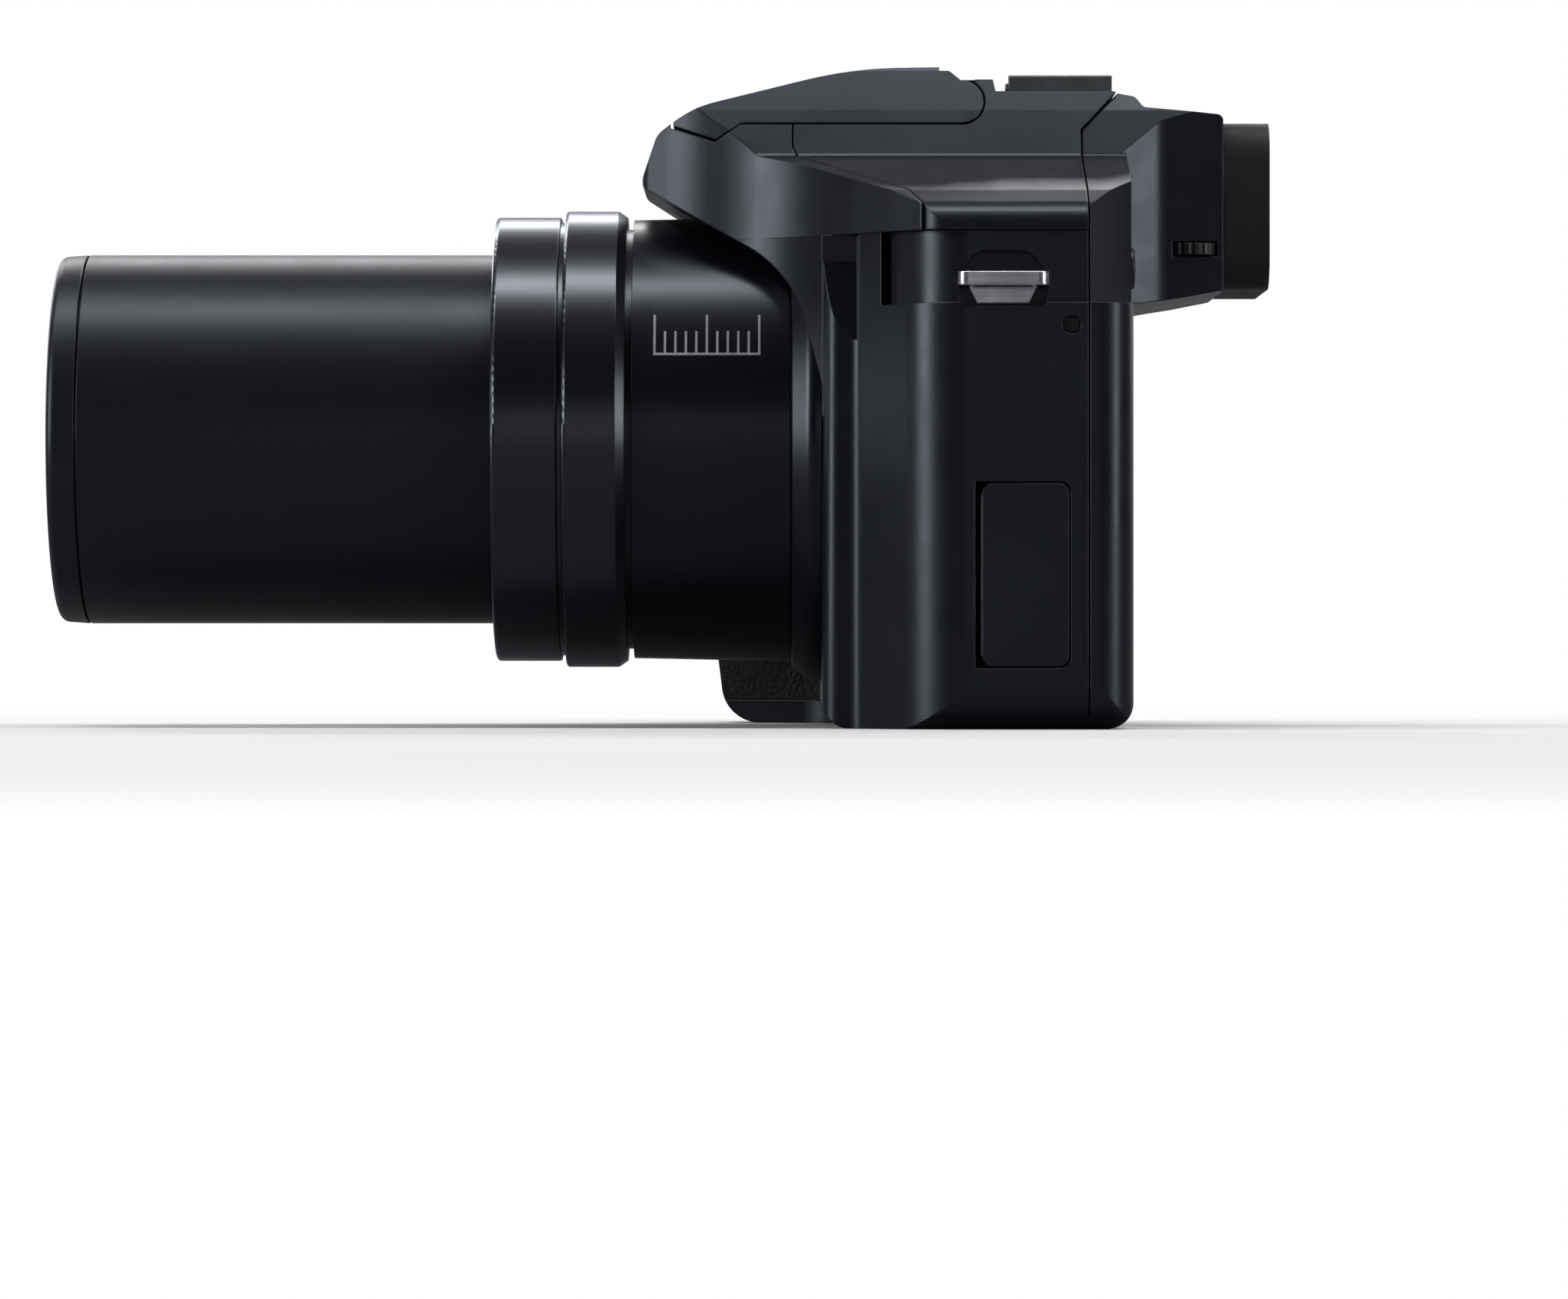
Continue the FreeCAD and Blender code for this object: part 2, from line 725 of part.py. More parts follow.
for i, place in enumerate(screw_places):
    screw_holes.append(rod(f"screw_hole_{i}", "z", "1.7", "-1", "1.6", *place))
    screw_heads.append(rod(f"screw_head_{i}", "z", "1.6", "0.4", "1.6", *place))
side_place = ("16.9", "57.6")
side_hole = rod("side_hole", "x", "1.3", "side_left - 1.4", "side_left + 3", *side_place)
screw_heads.append(rod("screw_head_side", "x", "1.2", "side_left - 1.4", "side_left - 0.4", *side_place))
node(fuse("case_screws_solid", *screw_heads), "case_screws")
bottom_plate = common("bottom_plate", outer_form, bottom_zone)
node(cut("bottom_solid", bottom_plate, bush_hole, *screw_holes), "bottom_cover")

door_hinge_across = "-50.6"
door_hinge_up = "1.5"
door_outline = rectangle("-70.5", "-20", door_hinge_across, "15", 2)
door_plate = prism("door_plate", "plan", door_outline, "-1", "2")
door_knuckle = fuse(
    "door_knuckle",
    rod("door_barrel", "y", "1.5", "-20", "15", door_hinge_across, door_hinge_up),
    rod("door_stubs", "y", "0.6", "-21.6", "16.6", door_hinge_across, door_hinge_up),
)
latch_slot = prism("latch_slot", "plan", rectangle("-69", "-7.5", "-62", "1.5", 1), "-1", "1.3")
latch_view = prism("latch_view", "plan", rectangle("-68.7", "-7.2", "-65.3", "1.2", 0.8), "0.3", "1.3")
door_form = fuse("door_form", common("door_skin", grip_form, door_plate), door_knuckle)
node(cut("door_solid", door_form, latch_slot), "battery_door")
node(latch_view, "door_latch")
door_cut = fuse(
    "door_cut",
    prism("door_cut_plate", "plan", rectangle("-70.8", "-20.3", door_hinge_across, "15.3", 2), "-1", "2.3"),
    rod("door_cut_knuckle", "y", "2.3", "-20.3", "15.3", door_hinge_across, door_hinge_up),
    rod("door_stub_holes", "y", "0.6 + running_gap", "-22", "17", door_hinge_across, door_hinge_up),
)
battery_way = prism("battery_way", "plan", rectangle("-69.4", "-19.6", "-52.8", "14.6", 1), "1.5", "5")

terminal_outline = rectangle("4.2", "9", "16.5", "35", 1.5)
terminal_plate = prism("terminal_plate", "side", terminal_outline, "side_left - 1.5", "side_left + 3")
terminal_knuckle = rod("terminal_knuckle", "z", "0.9", "10.5", "33.5", "side_left - 1.0", "4.6")
terminal_skin = common("terminal_skin", outer_form, terminal_plate)
node(fuse("terminal_door_form", terminal_skin, terminal_knuckle), "terminal_door")
terminal_cut_outline = rectangle("3.2", "8.7", "16.8", "35.3", 1.5)
terminal_cut = fuse(
    "terminal_cut",
    prism("terminal_cut_plate", "side", terminal_cut_outline, "side_left - 1.9", "side_left + 3"),
    rod("terminal_cut_knuckle", "z", "1.7", "8.7", "35.3", "side_left - 1.0", "4.6"),
    prism("terminal_way", "side", rectangle("6", "12", "15.4", "33", 1), "side_left - 4", "side_left + 3"),
)

recess_outline = [
    ("1.2", "60.2", 1),
    ("13.2", "60.2", 1),
    ("13.9", "64.6", 1),
    ("11.0", "68.2", 3),
    ("3.4", "68.2", 3),
    ("0.5", "64.6", 1),
]
strap_recess_left = prism("strap_recess_left", "side", recess_outline, "side_left - 3.6", "side_left + 6")
recess_outline_right = rectangle("1.2", "60.4", "18.6", "70.2", 3)
strap_recess_right = prism(
    "strap_recess_right", "side", recess_outline_right, "side_right - 6", "side_right + 3.2",
)


def strap_lug(name, outer, inner, slot_outer, slot_inner, middle, foot_low, foot_high):
    """A flat metal loop that stands out level from the side of the casing, on a tapered foot."""
    outline = [
        (inner, f"{middle} - 5.2"),
        (outer, f"{middle} - 6.9", 1.5),
        (outer, f"{middle} + 6.9", 1.5),
        (inner, f"{middle} + 5.2"),
    ]
    slot = rectangle(slot_inner, f"{middle} - 4.8", slot_outer, f"{middle} + 4.8", 1)
    plate = prism(name + "_plate", "plan", outline, "63.2", "65.1")
    hole = prism(name + "_slot", "plan", slot, "60", "70")
    foot_outline = [
        (f"{middle} - 3.7", "60.7"),
        (f"{middle} + 3.7", "60.7"),
        (f"{middle} + 4.9", "63.2"),
        (f"{middle} - 4.9", "63.2"),
    ]
    foot = prism(name + "_foot", "side", foot_outline, foot_low, foot_high)
    return node(fuse(name + "_solid", cut(name + "_loop", plate, hole), foot), name)


strap_lug(
    "strap_lug_left", "side_left + 2", "side_left - 5.4", "side_left + 0.2", "side_left - 2.8", "7.2",
    "side_left - 3.5", "side_left - 2.6",
)
strap_lug(
    "strap_lug_right", "side_right - 1.2", "side_right + 5.6", "side_right + 0.6", "side_right + 2.9", "9.6",
    "side_right + 2.7", "side_right + 3.1",
)
lug_cuts = [
    prism("lug_cut_left", "plan", rectangle("0", "1.2", "side_left + 3", "13.2"), "63.1", "65.2"),
    prism("lug_cut_right", "plan", rectangle("side_right - 3", "3.6", "0", "15.6"), "63.1", "65.2"),
]

# The lens hole, the rear display, the deck and every button's own opening.

lens_hole = rod("lens_hole", "y", "chassis_radius + 0.1", "-30", "-10", "0", "axis_height")
collar_space = rod(
    "collar_space", "y", "collar_radius + 0.15", "tube_back - 0.4", "casing_front", "0", "axis_height",
)
window_corners = rectangle("display_right", "display_low", "display_left", "display_high", 2)
display_window = prism("display_window_solid", "front", window_corners, "casing_back - 1.5", "casing_back")
node(display_window, "display_window")
display_recess = inset(
    "display_recess", "front", display_window, "-0.15", "casing_back - 1.5", "casing_back + 2",
)


def display_inset(distance):
    """The display window's rectangle drawn smaller all round."""
    return rectangle(
        f"display_right + {distance}", f"display_low + {distance}",
        f"display_left - {distance}", f"display_high - {distance}",
    )


display_way = prism("display_way", "front", display_inset("3"), "15", "40")
display_panel = prism("display_panel_solid", "front", display_inset("3.3"), "20.2", "casing_back - 1.5")
node(display_panel, "display_panel")

lamp_rod = rod("lamp_rod", "y", "2.3", "-22", "-14.2", "-37.6", "72.6")
lamp_hole = rod("lamp_hole", "y", "2.35", "-23", "-14.2", "-37.6", "72.6")
node(common("lamp_solid", outer_form, lamp_rod), "focus_lamp_window")

microphone_outline = rectangle("-13", "3.3", "13", "6.2", 0.8)
microphone_plate = prism("microphone_solid", "plan", microphone_outline, "94.2", "95.2")
microphone_slots = []
for i in range(6):
    slot_start = -11.6 + 4.0 * i
    slot_outline = rectangle(f"{slot_start}", "4.2", f"{slot_start + 2.8}", "5.3", 0.4)
    microphone_slots.append(prism(f"microphone_slot_{i}", "plan", slot_outline, "94", "96"))
node(cut("microphone_cut", microphone_plate, *microphone_slots), "microphone_plate")
microphone_recess = prism("microphone_recess", "plan", microphone_outline, "94.2", "98")

shoe_profile = [
    ("-10.75", "shoe_deck - 0.5"),
    ("10.75", "shoe_deck - 0.5"),
    ("10.75", "96.2", 0.4),
    ("6.3", "96.2"),
    ("6.3", "95.3"),
    ("9.35", "95.3"),
    ("9.35", "shoe_deck"),
    ("-9.35", "shoe_deck"),
    ("-9.35", "95.3"),
    ("-6.3", "95.3"),
    ("-6.3", "96.2"),
    ("-10.75", "96.2", 0.4),
]
node(prism("hot_shoe_solid", "front", shoe_profile, "9.2", "24.4"), "hot_shoe")
shoe_outline = rectangle("-10.75", "9.2", "10.75", "24.5")
shoe_recess = prism("shoe_recess", "plan", shoe_outline, "shoe_deck - 0.5", "98")

deck_buttons = {
    "movie_button": ("-55.5", "-7.5", "3.4", "0.9"),
    "burst_button": ("-66", "-4", "2.8", "0.7"),
    "flash_button": ("-33.5", "-4.5", "2.6", "0.6"),
}
back_buttons = {
    "viewfinder_button": ("33", "66.5", "3.0", "0.8"),
    "lock_button": ("-31.5", "67", "3.2", "0.8"),
    "playback_button": ("-29", "52", "3.0", "0.8"),
    "display_button": ("-29", "10.5", "2.8", "0.8"),
    "menu_button": ("-42", "8.6", "2.8", "0.8"),
}
openings = []
for label, (across, along, radius, proud) in deck_buttons.items():
    cap = turned_upright(
        label,
        [("0", "-3.4"), (f"{radius}", "-3.4"), (f"{radius}", f"{proud}", 0.4), ("0", f"{proud} + 0.15")],
        across, along, "deck_height",
    )
    node(cap, label)
    hole = rod(
        label + "_hole", "z", f"{radius} + button_gap", "deck_height - 4", "deck_height + 4", across, along,
    )
    openings.append(hole)
for label, (across, up, radius, proud) in back_buttons.items():
    cap = turned_upright(
        label,
        [("0", "-3"), (f"{radius}", "-3"), (f"{radius}", f"{proud}", 0.4), ("0", f"{proud} + 0.15")],
        across, "casing_back", up, Rotation(Vector(1, 0, 0), -90),
    )
    node(cap, label)
    hole = rod(
        label + "_hole", "y", f"{radius} + button_gap", "casing_back - 4", "casing_back + 4", across, up,
    )
    openings.append(hole)

pad_across, pad_up = "-41.5", "28"
pad_recess = rod("pad_recess", "y", "10.6", "casing_back - 1.9", "casing_back + 2", pad_across, pad_up)
set_hole = rod("set_hole", "y", "4.0", "casing_back - 4", "casing_back + 2", pad_across, pad_up)
four_way = turned_upright(
    "four_way_pad",
    [("4.75", "-1.5"), ("10.2", "-1.5"), ("10.2", "0.4", 0.5), ("7.6", "1.3", 1), ("4.75", "0.7")],
    pad_across, "casing_back", pad_up, Rotation(Vector(1, 0, 0), -90),
)
node(four_way, "four_way_pad")
set_cap = turned_upright(
    "set_button",
    [("0", "-3.2"), ("3.8", "-3.2"), ("3.8", "-1.2"), ("4.4", "-1.2"), ("4.4", "0.9", 0.4), ("0", "1.1")],
    pad_across, "casing_back", pad_up, Rotation(Vector(1, 0, 0), -90),
)
node(set_cap, "set_button")

dial_across, dial_along = "-40", "8"
dial_hole = rod("dial_hole", "z", "3.05", "deck_height - 5", "deck_height + 2", dial_across, dial_along)
mode_dial_profile = [
    ("0", "-3.5"),
    ("3", "-3.5"),
    ("3", "0.3"),
    ("10.4", "0.3"),
    ("10.4", "5.9", 0.6),
    ("9.4", "6.2"),
    ("0", "6.2"),
]
mode_dial = turned_upright("mode_dial", mode_dial_profile, dial_across, dial_along, "deck_height")
flute(mode_dial, "10.75", "0.65", "1.2", "4.2", 24)
node(mode_dial, "mode_dial")

rear_dial_across, rear_dial_along, rear_dial_up = "-45", "19.6", "71.6"
rear_dial = turned_upright(
    "rear_dial",
    [("0", "-2.4"), ("7.6", "-2.4", 0.5), ("7.6", "2.4", 0.5), ("1.5", "2.4"), ("1.5", "5.1"), ("0", "5.1")],
    rear_dial_across, rear_dial_along, rear_dial_up,
)
flute(rear_dial, "8.0", "0.7", "-2.4", "4.8", 18)
node(rear_dial, "rear_dial")
rear_dial_slot = prism("rear_dial_slot", "plan", rectangle("-53.3", "10", "-36.7", "40"), "68.9", "74.3")

grip_tilt = 16.7
shutter_turn = Rotation(Vector(1, 0, 0), grip_tilt)
shutter_across, shutter_along, shutter_up = "-60.5", "-24.5", "76.2"
shutter = turned_upright(
    "shutter_button",
    [("0", "-3.5"), ("5.2", "-3.5"), ("5.2", "4.0", 0.8), ("0", "3.6")],
    shutter_across, shutter_along, shutter_up, shutter_turn,
)
node(shutter, "shutter_button")
lever = turned_upright(
    "zoom_lever",
    [("5.75", "-2"), ("6.5", "-2"), ("6.5", "0.3"), ("8.9", "0.3"), ("8.9", "2.6", 0.5), ("5.75", "3.1")],
    shutter_across, shutter_along, shutter_up, shutter_turn,
)
nub_outline = [("-2.2", "-8.4"), ("-1.2", "-11.2", 0.8), ("1.2", "-11.2", 0.8), ("2.2", "-8.4")]
pad(lever, sketch_on(lever, "XY_Plane", nub_outline, offset="0.4"), "2.1")
node(lever, "zoom_lever")
shutter_hole = turned_upright(
    "shutter_hole",
    [("0", "-8"), ("6.55", "-8"), ("6.55", "8"), ("0", "8")],
    shutter_across, shutter_along, shutter_up, shutter_turn,
)

switch_outline = rectangle("-65.5", "7.8", "-54.5", "12.2", 2.1)
switch_track = prism("switch_track", "plan", switch_outline, "deck_height - 4", "deck_height + 1")
switch = new_body("power_switch", "-62", "10", "deck_height")
pad(switch, sketch_on(switch, "XY_Plane", rectangle("-3", "-1.9", "3", "1.9", 1.7), offset="-3"), "4.2")
node(switch, "power_switch")

dioptre = new_body("dioptre_dial", "18.4", "35.6", "70")
pad(dioptre, sketch_on(dioptre, "XY_Plane", circles=[("0", "0", "4")], offset="-0.85"), "1.7")
flute(dioptre, "4.2", "0.45", "-0.85", "1.7", 16)
node(dioptre, "dioptre_dial")

shell = cut(
    "shell", outer_form, cavity,
    flash_zone, flash_pin_hole, finder_zone, rubber_zone, bottom_cut, door_cut, battery_way, terminal_cut,
    strap_recess_left, strap_recess_right, *lug_cuts, lens_hole, collar_space, display_recess, display_way,
    lamp_hole, microphone_recess, shoe_recess, pad_recess, set_hole, dial_hole, rear_dial_slot,
    shutter_hole, switch_track, side_hole, *screw_holes, *openings,
)
node(common("top_cover_solid", shell, top_region), "top_cover")
top_slice = common("top_slice", top_plan_cut, lip_slice)
node(common("front_cover_solid", cut("front_shell", shell, top_slice), front_region), "front_cover")
node(common("rear_cover_solid", shell, rear_region), "rear_cover")

# The eyecup and what is behind it.

eyecup_outline = rectangle("-eyecup_half", "64.3", "eyecup_half", "88.7", 5)
eyecup_form = prism("eyecup_form", "front", eyecup_outline, "finder_back", "eyecup_back")
eyecup_mouth = prism("eyecup_mouth", "front", rectangle("-15.5", "67.4", "15.5", "85.8", 4), "42", "60")
eyecup_throat = prism("eyecup_throat", "front", finder_opening, "30", "60")
node(cut("eyecup_solid", eyecup_form, eyecup_mouth, eyecup_throat), "eyecup")
node(prism("eyepiece_solid", "front", finder_opening, "36", "39"), "eyepiece_lens")

# The lens, all turned about its axis, from the collar in the front cover to the glass.

collar = turned_about_lens("lens_collar", [
    ("tube_back", "sleeve_radius"),
    ("tube_back", "tube_back_radius + 0.6", 0.4),
    ("casing_front - 1.6", "collar_radius", 2.5),
    ("casing_front", "collar_radius"),
    ("casing_front", "sleeve_radius"),
])
node(collar, "lens_collar")
tube = turned_about_lens("lens_tube", [
    ("-64.2", "sleeve_bore"),
    ("-64.2", "sleeve_radius"),
    ("tube_front", "sleeve_radius"),
    ("tube_front", "tube_front_radius"),
    ("tube_back - 0.15", "tube_back_radius"),
    ("tube_back - 0.15", "sleeve_radius"),
    ("casing_front", "sleeve_radius"),
    ("casing_front", "chassis_radius"),
    ("casing_front + 2", "chassis_radius"),
    ("casing_front + 2", "sleeve_bore"),
])
node(tube, "lens_tube")
tube_ring = turned_about_lens("tube_ring", [
    ("tube_ring_front", "sleeve_radius"),
    ("tube_ring_front", "tube_ring_radius", 0.5),
    ("tube_ring_back - 1.3", "tube_ring_radius"),
    ("tube_ring_back", "tube_ring_radius - 0.9"),
    ("tube_ring_back", "sleeve_radius"),
])
node(tube_ring, "tube_ring")
front_ring = turned_about_lens("front_ring", [
    ("front_ring_front", "barrel_radius + 0.3"),
    ("front_ring_front", "front_ring_radius", 0.7),
    ("tube_ring_front - 0.7", "front_ring_radius", 0.3),
    ("tube_ring_front - 0.7", "front_ring_radius - 0.8"),
    ("tube_ring_front", "front_ring_radius - 0.8"),
    ("tube_ring_front", "sleeve_radius"),
    ("-64.2", "sleeve_radius"),
    ("-64.2", "barrel_radius + 0.3"),
])
node(front_ring, "front_ring")
barrel = turned_about_lens("zoom_barrel", [
    ("barrel_front", "barrel_bore"),
    ("barrel_front", "barrel_radius", 0.15),
    ("barrel_back - 3", "barrel_radius"),
    ("barrel_back - 3", "barrel_radius + 0.9"),
    ("barrel_back", "barrel_radius + 0.9"),
    ("barrel_back", "barrel_bore"),
])
node(barrel, "zoom_barrel")
nose = turned_about_lens("nose_ring", [
    ("nose_front", "filter_radius"),
    ("nose_front", "barrel_radius - 0.3", 1.4),
    ("barrel_front - 0.25", "barrel_radius", 0.15),
    ("barrel_front - 0.25", "barrel_bore"),
    ("-118.9", "barrel_bore"),
    ("-118.9", "glass_radius"),
    ("-124.6", "glass_radius"),
    ("nose_front + 4", "filter_radius"),
])
node(nose, "nose_ring")
glass_rim = rod("glass_rim", "y", "glass_radius", "-129", "-119.4", "0", "axis_height")
glass_front = common("glass_front", glass_rim, ball("glass_front_curve", "70", "-56.8"))
node(cut("glass", glass_front, ball("glass_back_curve", "91", "-30.5")), "front_lens")

# The zoom gears. The motor's pinion turns the cam barrel by the teeth round its rear end. A
# tooth of the one stands in a gap of the other on the line between their centres.

cam_gear_tip = "gear_module * (cam_teeth / 2 + 1)"
zoom_gear_tip = "gear_module * (zoom_gear_teeth / 2 + 1)"
cam_step = 360 / number("cam_teeth")
zoom_gear_step = 360 / number("zoom_gear_teeth")
gear_line = math.degrees(math.atan2(number("zoom_gear_across"), number("zoom_gear_up - axis_height")))


def cut_teeth(body, teeth, front, back, turn):
    """Cut tooth gaps into a disc that reaches the tip radius, between two places along its axis."""
    root = f"gear_module * ({teeth} / 2 - 1.25)"
    above_tip = f"gear_module * ({teeth} / 2 + 1.1)"
    gap = [
        ("-0.45 * gear_module", root),
        ("0.45 * gear_module", root),
        ("1.33 * gear_module", above_tip),
        ("-1.33 * gear_module", above_tip),
    ]
    first = pocket(body, sketch_on(body, "XZ_Plane", gap, offset=f"-({front})"), f"{back} - {front}")
    repeat_round(body, first, int(number(teeth)))
    body.Placement.Rotation = Rotation(Vector(0, 1, 0), turn)


chassis = turned_about_lens("lens_chassis", [
    ("casing_front + 2", "chassis_bore"),
    ("casing_front + 2", "chassis_radius"),
    ("chassis_back", "chassis_radius"),
    ("chassis_back", "6.5"),
    ("chassis_back - 2", "6.5"),
    ("chassis_back - 2", "chassis_bore"),
])
gear_gate = [("zoom_gear_across", "zoom_gear_up - axis_height", f"{zoom_gear_tip} + 0.6")]
pocket(chassis, sketch_on(chassis, "XZ_Plane", circles=gear_gate), "5")
clamp_centre = ("zoom_gear_across", "zoom_gear_up - axis_height")
clamp_rings = [(*clamp_centre, "motor_radius + 1.3"), (*clamp_centre, "motor_radius")]
pad(chassis, sketch_on(chassis, "XZ_Plane", circles=clamp_rings, offset="6"), "3")
node(chassis, "lens_chassis")
cam = turned_about_lens("cam_barrel", [
    ("-61.5", "cam_bore"),
    ("-61.5", "cam_radius"),
    ("0.6", "cam_radius"),
    ("0.6", cam_gear_tip),
    ("4.2", cam_gear_tip),
    ("4.2", "cam_radius"),
    ("6.2", "cam_radius"),
    ("6.2", "cam_bore"),
])
cut_teeth(cam, "cam_teeth", "0.6", "4.2", math.fmod(gear_line, cam_step) - cam_step / 2)
node(cam, "cam_barrel")

zoom_gear = new_body("zoom_pinion", "zoom_gear_across", "0", "zoom_gear_up")
gear_profile = [
    ("-5", "0"),
    ("-5", "1"),
    ("0.8", "1"),
    ("0.8", zoom_gear_tip),
    ("4", zoom_gear_tip),
    ("4", "0"),
]
revolve(zoom_gear, sketch_on(zoom_gear, "YZ_Plane", gear_profile))
cut_teeth(zoom_gear, "zoom_gear_teeth", "0.8", "4", math.fmod(gear_line + 180, zoom_gear_step))
node(zoom_gear, "zoom_pinion")
motor = new_body("zoom_motor", "zoom_gear_across", "0", "zoom_gear_up")
motor_profile = [
    ("-13.5", "0"),
    ("-13.5", "motor_radius"),
    ("-1", "motor_radius"),
    ("-1", "1 + running_gap"),
    ("-5.5", "1 + running_gap"),
    ("-5.5", "0"),
]
revolve(motor, sketch_on(motor, "YZ_Plane", motor_profile))
node(motor, "zoom_motor")

second = turned_about_lens("second_lens_group", [
    ("-32.4", "0"),
    ("-31.9", "7"),
    ("-30.6", "13"),
    ("-32", "13"),
    ("-32", "15.4"),
    ("-24", "15.4"),
    ("-24", "13"),
    ("-25", "13"),
    ("-26", "7"),
    ("-26.4", "0"),
])
node(second, "second_lens_group")
carrier = turned_about_lens("focus_carrier", [
    ("-3", "0"),
    ("-2.8", "4"),
    ("-2", "8"),
    ("-3", "8"),
    ("-3", "10"),
    ("2.5", "10"),
    ("2.5", "8"),
    ("2", "8"),
    ("1.2", "4"),
    ("1", "0"),
])
node(carrier, "focus_carrier")
screw = new_body("focus_screw", "0", "0", "axis_height - 14")
revolve(screw, sketch_on(screw, "YZ_Plane", [("-8", "0"), ("-8", "1.1"), ("6.9", "1.1"), ("6.9", "0")]))
node(screw, "focus_screw")

# Inside the casing behind and beside the lens.

sensor = new_body("image_sensor", "0", "chassis_back", "axis_height")
pad(sensor, sketch_on(sensor, "XZ_Plane", rectangle("-12", "-11", "12", "11", 1), offset="-3.2"), "1.4")
pad(sensor, sketch_on(sensor, "XZ_Plane", rectangle("-5", "-4.2", "5", "4.2"), offset="-1.8"), "1.8")
node(sensor, "image_sensor")
board = new_body("main_board", "0", "15", "0")
board_outline = [
    ("-40", "8", 2),
    ("44", "8", 2),
    ("44", "68", 2),
    ("20", "68"),
    ("20", "62"),
    ("-20", "62"),
    ("-20", "68"),
    ("-40", "68", 2),
]
pad(board, sketch_on(board, "XZ_Plane", board_outline), "1.4", back=True)
node(board, "main_board")
battery = new_body("battery", "-61.6", "-2.6", "4")
pad(battery, sketch_on(battery, "XY_Plane", rectangle("-7", "-17", "7", "17", 2)), "45")
node(battery, "battery")
slot = new_body("card_slot", "-51.6", "-2.6", "5")
pad(slot, sketch_on(slot, "XY_Plane", rectangle("-1.9", "-13.5", "1.9", "13.5")), "29")
pocket(slot, sketch_on(slot, "XY_Plane", rectangle("-1.1", "-12.1", "1.1", "12.1")), "27", back=True)
node(slot, "card_slot")
capacitor = new_body("flash_capacitor", "43.5", "7", "33")
can_profile = [("0", "0"), ("5.5", "0", 0.5), ("5.5", "26", 0.5), ("0", "26")]
revolve(capacitor, sketch_on(capacitor, "XZ_Plane", can_profile), "V_Axis")
node(capacitor, "flash_capacitor")
terminals = new_body("terminal_block", "side_left - 4.2", "10.5", "22.5")
pad(terminals, sketch_on(terminals, "YZ_Plane", rectangle("-4.5", "-10", "4.5", "10")), "7", back=True)
pocket(terminals, sketch_on(terminals, "YZ_Plane", rectangle("-3.4", "2.6", "3.4", "5.6", 0.6)), "4.5")
pocket(terminals, sketch_on(terminals, "YZ_Plane", rectangle("-3.6", "-6.4", "3.6", "-3.0", 0.6)), "4.5")
node(terminals, "terminal_block")
bush = new_body("tripod_socket", "0", "0", "0")
bush_profile = [("3.175", "0"), ("5.2", "0"), ("5.2", "7.4"), ("0", "7.4"), ("0", "5.6"), ("3.175", "5.6")]
revolve(bush, sketch_on(bush, "XZ_Plane", bush_profile), "V_Axis")
node(bush, "tripod_socket")

# Every object has to be sound before anything is written.

doc.recompute()
failed = [item.Name + ": " + item.getStatusString() for item in doc.Objects if "Invalid" in item.State]
if failed:
    raise RuntimeError("\n".join(failed))
os.makedirs("parts", exist_ok=True)
for item in nodes:
    if item.Shape.isNull() or not item.Shape.isValid():
        raise RuntimeError(f"{item.Label} has no sound shape")
    item.Shape.exportStep(f"parts/{item.Label}.step")
    print(item.Label, len(item.Shape.Solids), "solids", round(item.Shape.Volume), "cubic millimetres")
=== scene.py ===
import math

import bmesh
import bpy
from mathutils import Matrix, Vector


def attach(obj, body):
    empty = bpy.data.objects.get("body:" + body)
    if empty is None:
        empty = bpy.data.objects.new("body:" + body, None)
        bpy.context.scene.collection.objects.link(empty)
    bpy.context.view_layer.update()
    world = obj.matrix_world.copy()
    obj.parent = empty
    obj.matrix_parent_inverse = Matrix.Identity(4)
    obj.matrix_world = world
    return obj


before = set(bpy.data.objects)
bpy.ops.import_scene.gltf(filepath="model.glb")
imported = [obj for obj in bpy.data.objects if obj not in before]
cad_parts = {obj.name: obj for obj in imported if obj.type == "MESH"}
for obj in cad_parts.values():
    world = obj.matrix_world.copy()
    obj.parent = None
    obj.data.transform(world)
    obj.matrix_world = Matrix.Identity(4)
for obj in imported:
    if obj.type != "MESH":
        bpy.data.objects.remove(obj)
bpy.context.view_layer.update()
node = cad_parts

# The casing: front, top, rear and bottom covers, the viewfinder housing, the flash head and two doors.
# Moulded in glass-filled plastic, near black with a cool cast, spark-textured so that it has a satin
# sheen, screwed together at hairline seams. Handling polishes its edges and leaves a trace of dust; the
# edges are painted lighter, partly as wear and partly as a painted highlight.

MM = 0.001


def new_group(name, takes, gives):
    """An empty effect with named inputs and outputs; returns the tree and its two end nodes."""
    tree = bpy.data.node_groups.new(name, "ShaderNodeTree")
    for socket, kind, value in takes:
        made = tree.interface.new_socket(name=socket, in_out="INPUT", socket_type=kind)
        made.default_value = value
    for socket, kind in gives:
        tree.interface.new_socket(name=socket, in_out="OUTPUT", socket_type=kind)
    return tree, tree.nodes.new("NodeGroupInput"), tree.nodes.new("NodeGroupOutput")


def put(tree, kind, settings=None, **sockets):
    """A node with its settings and its plain socket values, each named with spaces as underscores."""
    made = tree.nodes.new(kind)
    for name, value in (settings or {}).items():
        setattr(made, name, value)
    for name, value in sockets.items():
        made.inputs[name.replace("_", " ")].default_value = value
    return made


def arithmetic(tree, operation, first, second):
    """One sum of two sockets or numbers; returns the socket that holds the result."""
    made = put(tree, "ShaderNodeMath", {"operation": operation})
    for place, value in enumerate((first, second)):
        if isinstance(value, (int, float)):
            made.inputs[place].default_value = value
        else:
            tree.links.new(value, made.inputs[place])
    return made.outputs[0]


def spread(tree, mask, low, high, start=0.0, end=1.0):
    """Turns a mask between start and end into a value between low and high."""
    made = put(tree, "ShaderNodeMapRange", From_Min=start, From_Max=end, To_Min=low, To_Max=high)
    tree.links.new(mask, made.inputs["Value"])
    return made.outputs["Result"]


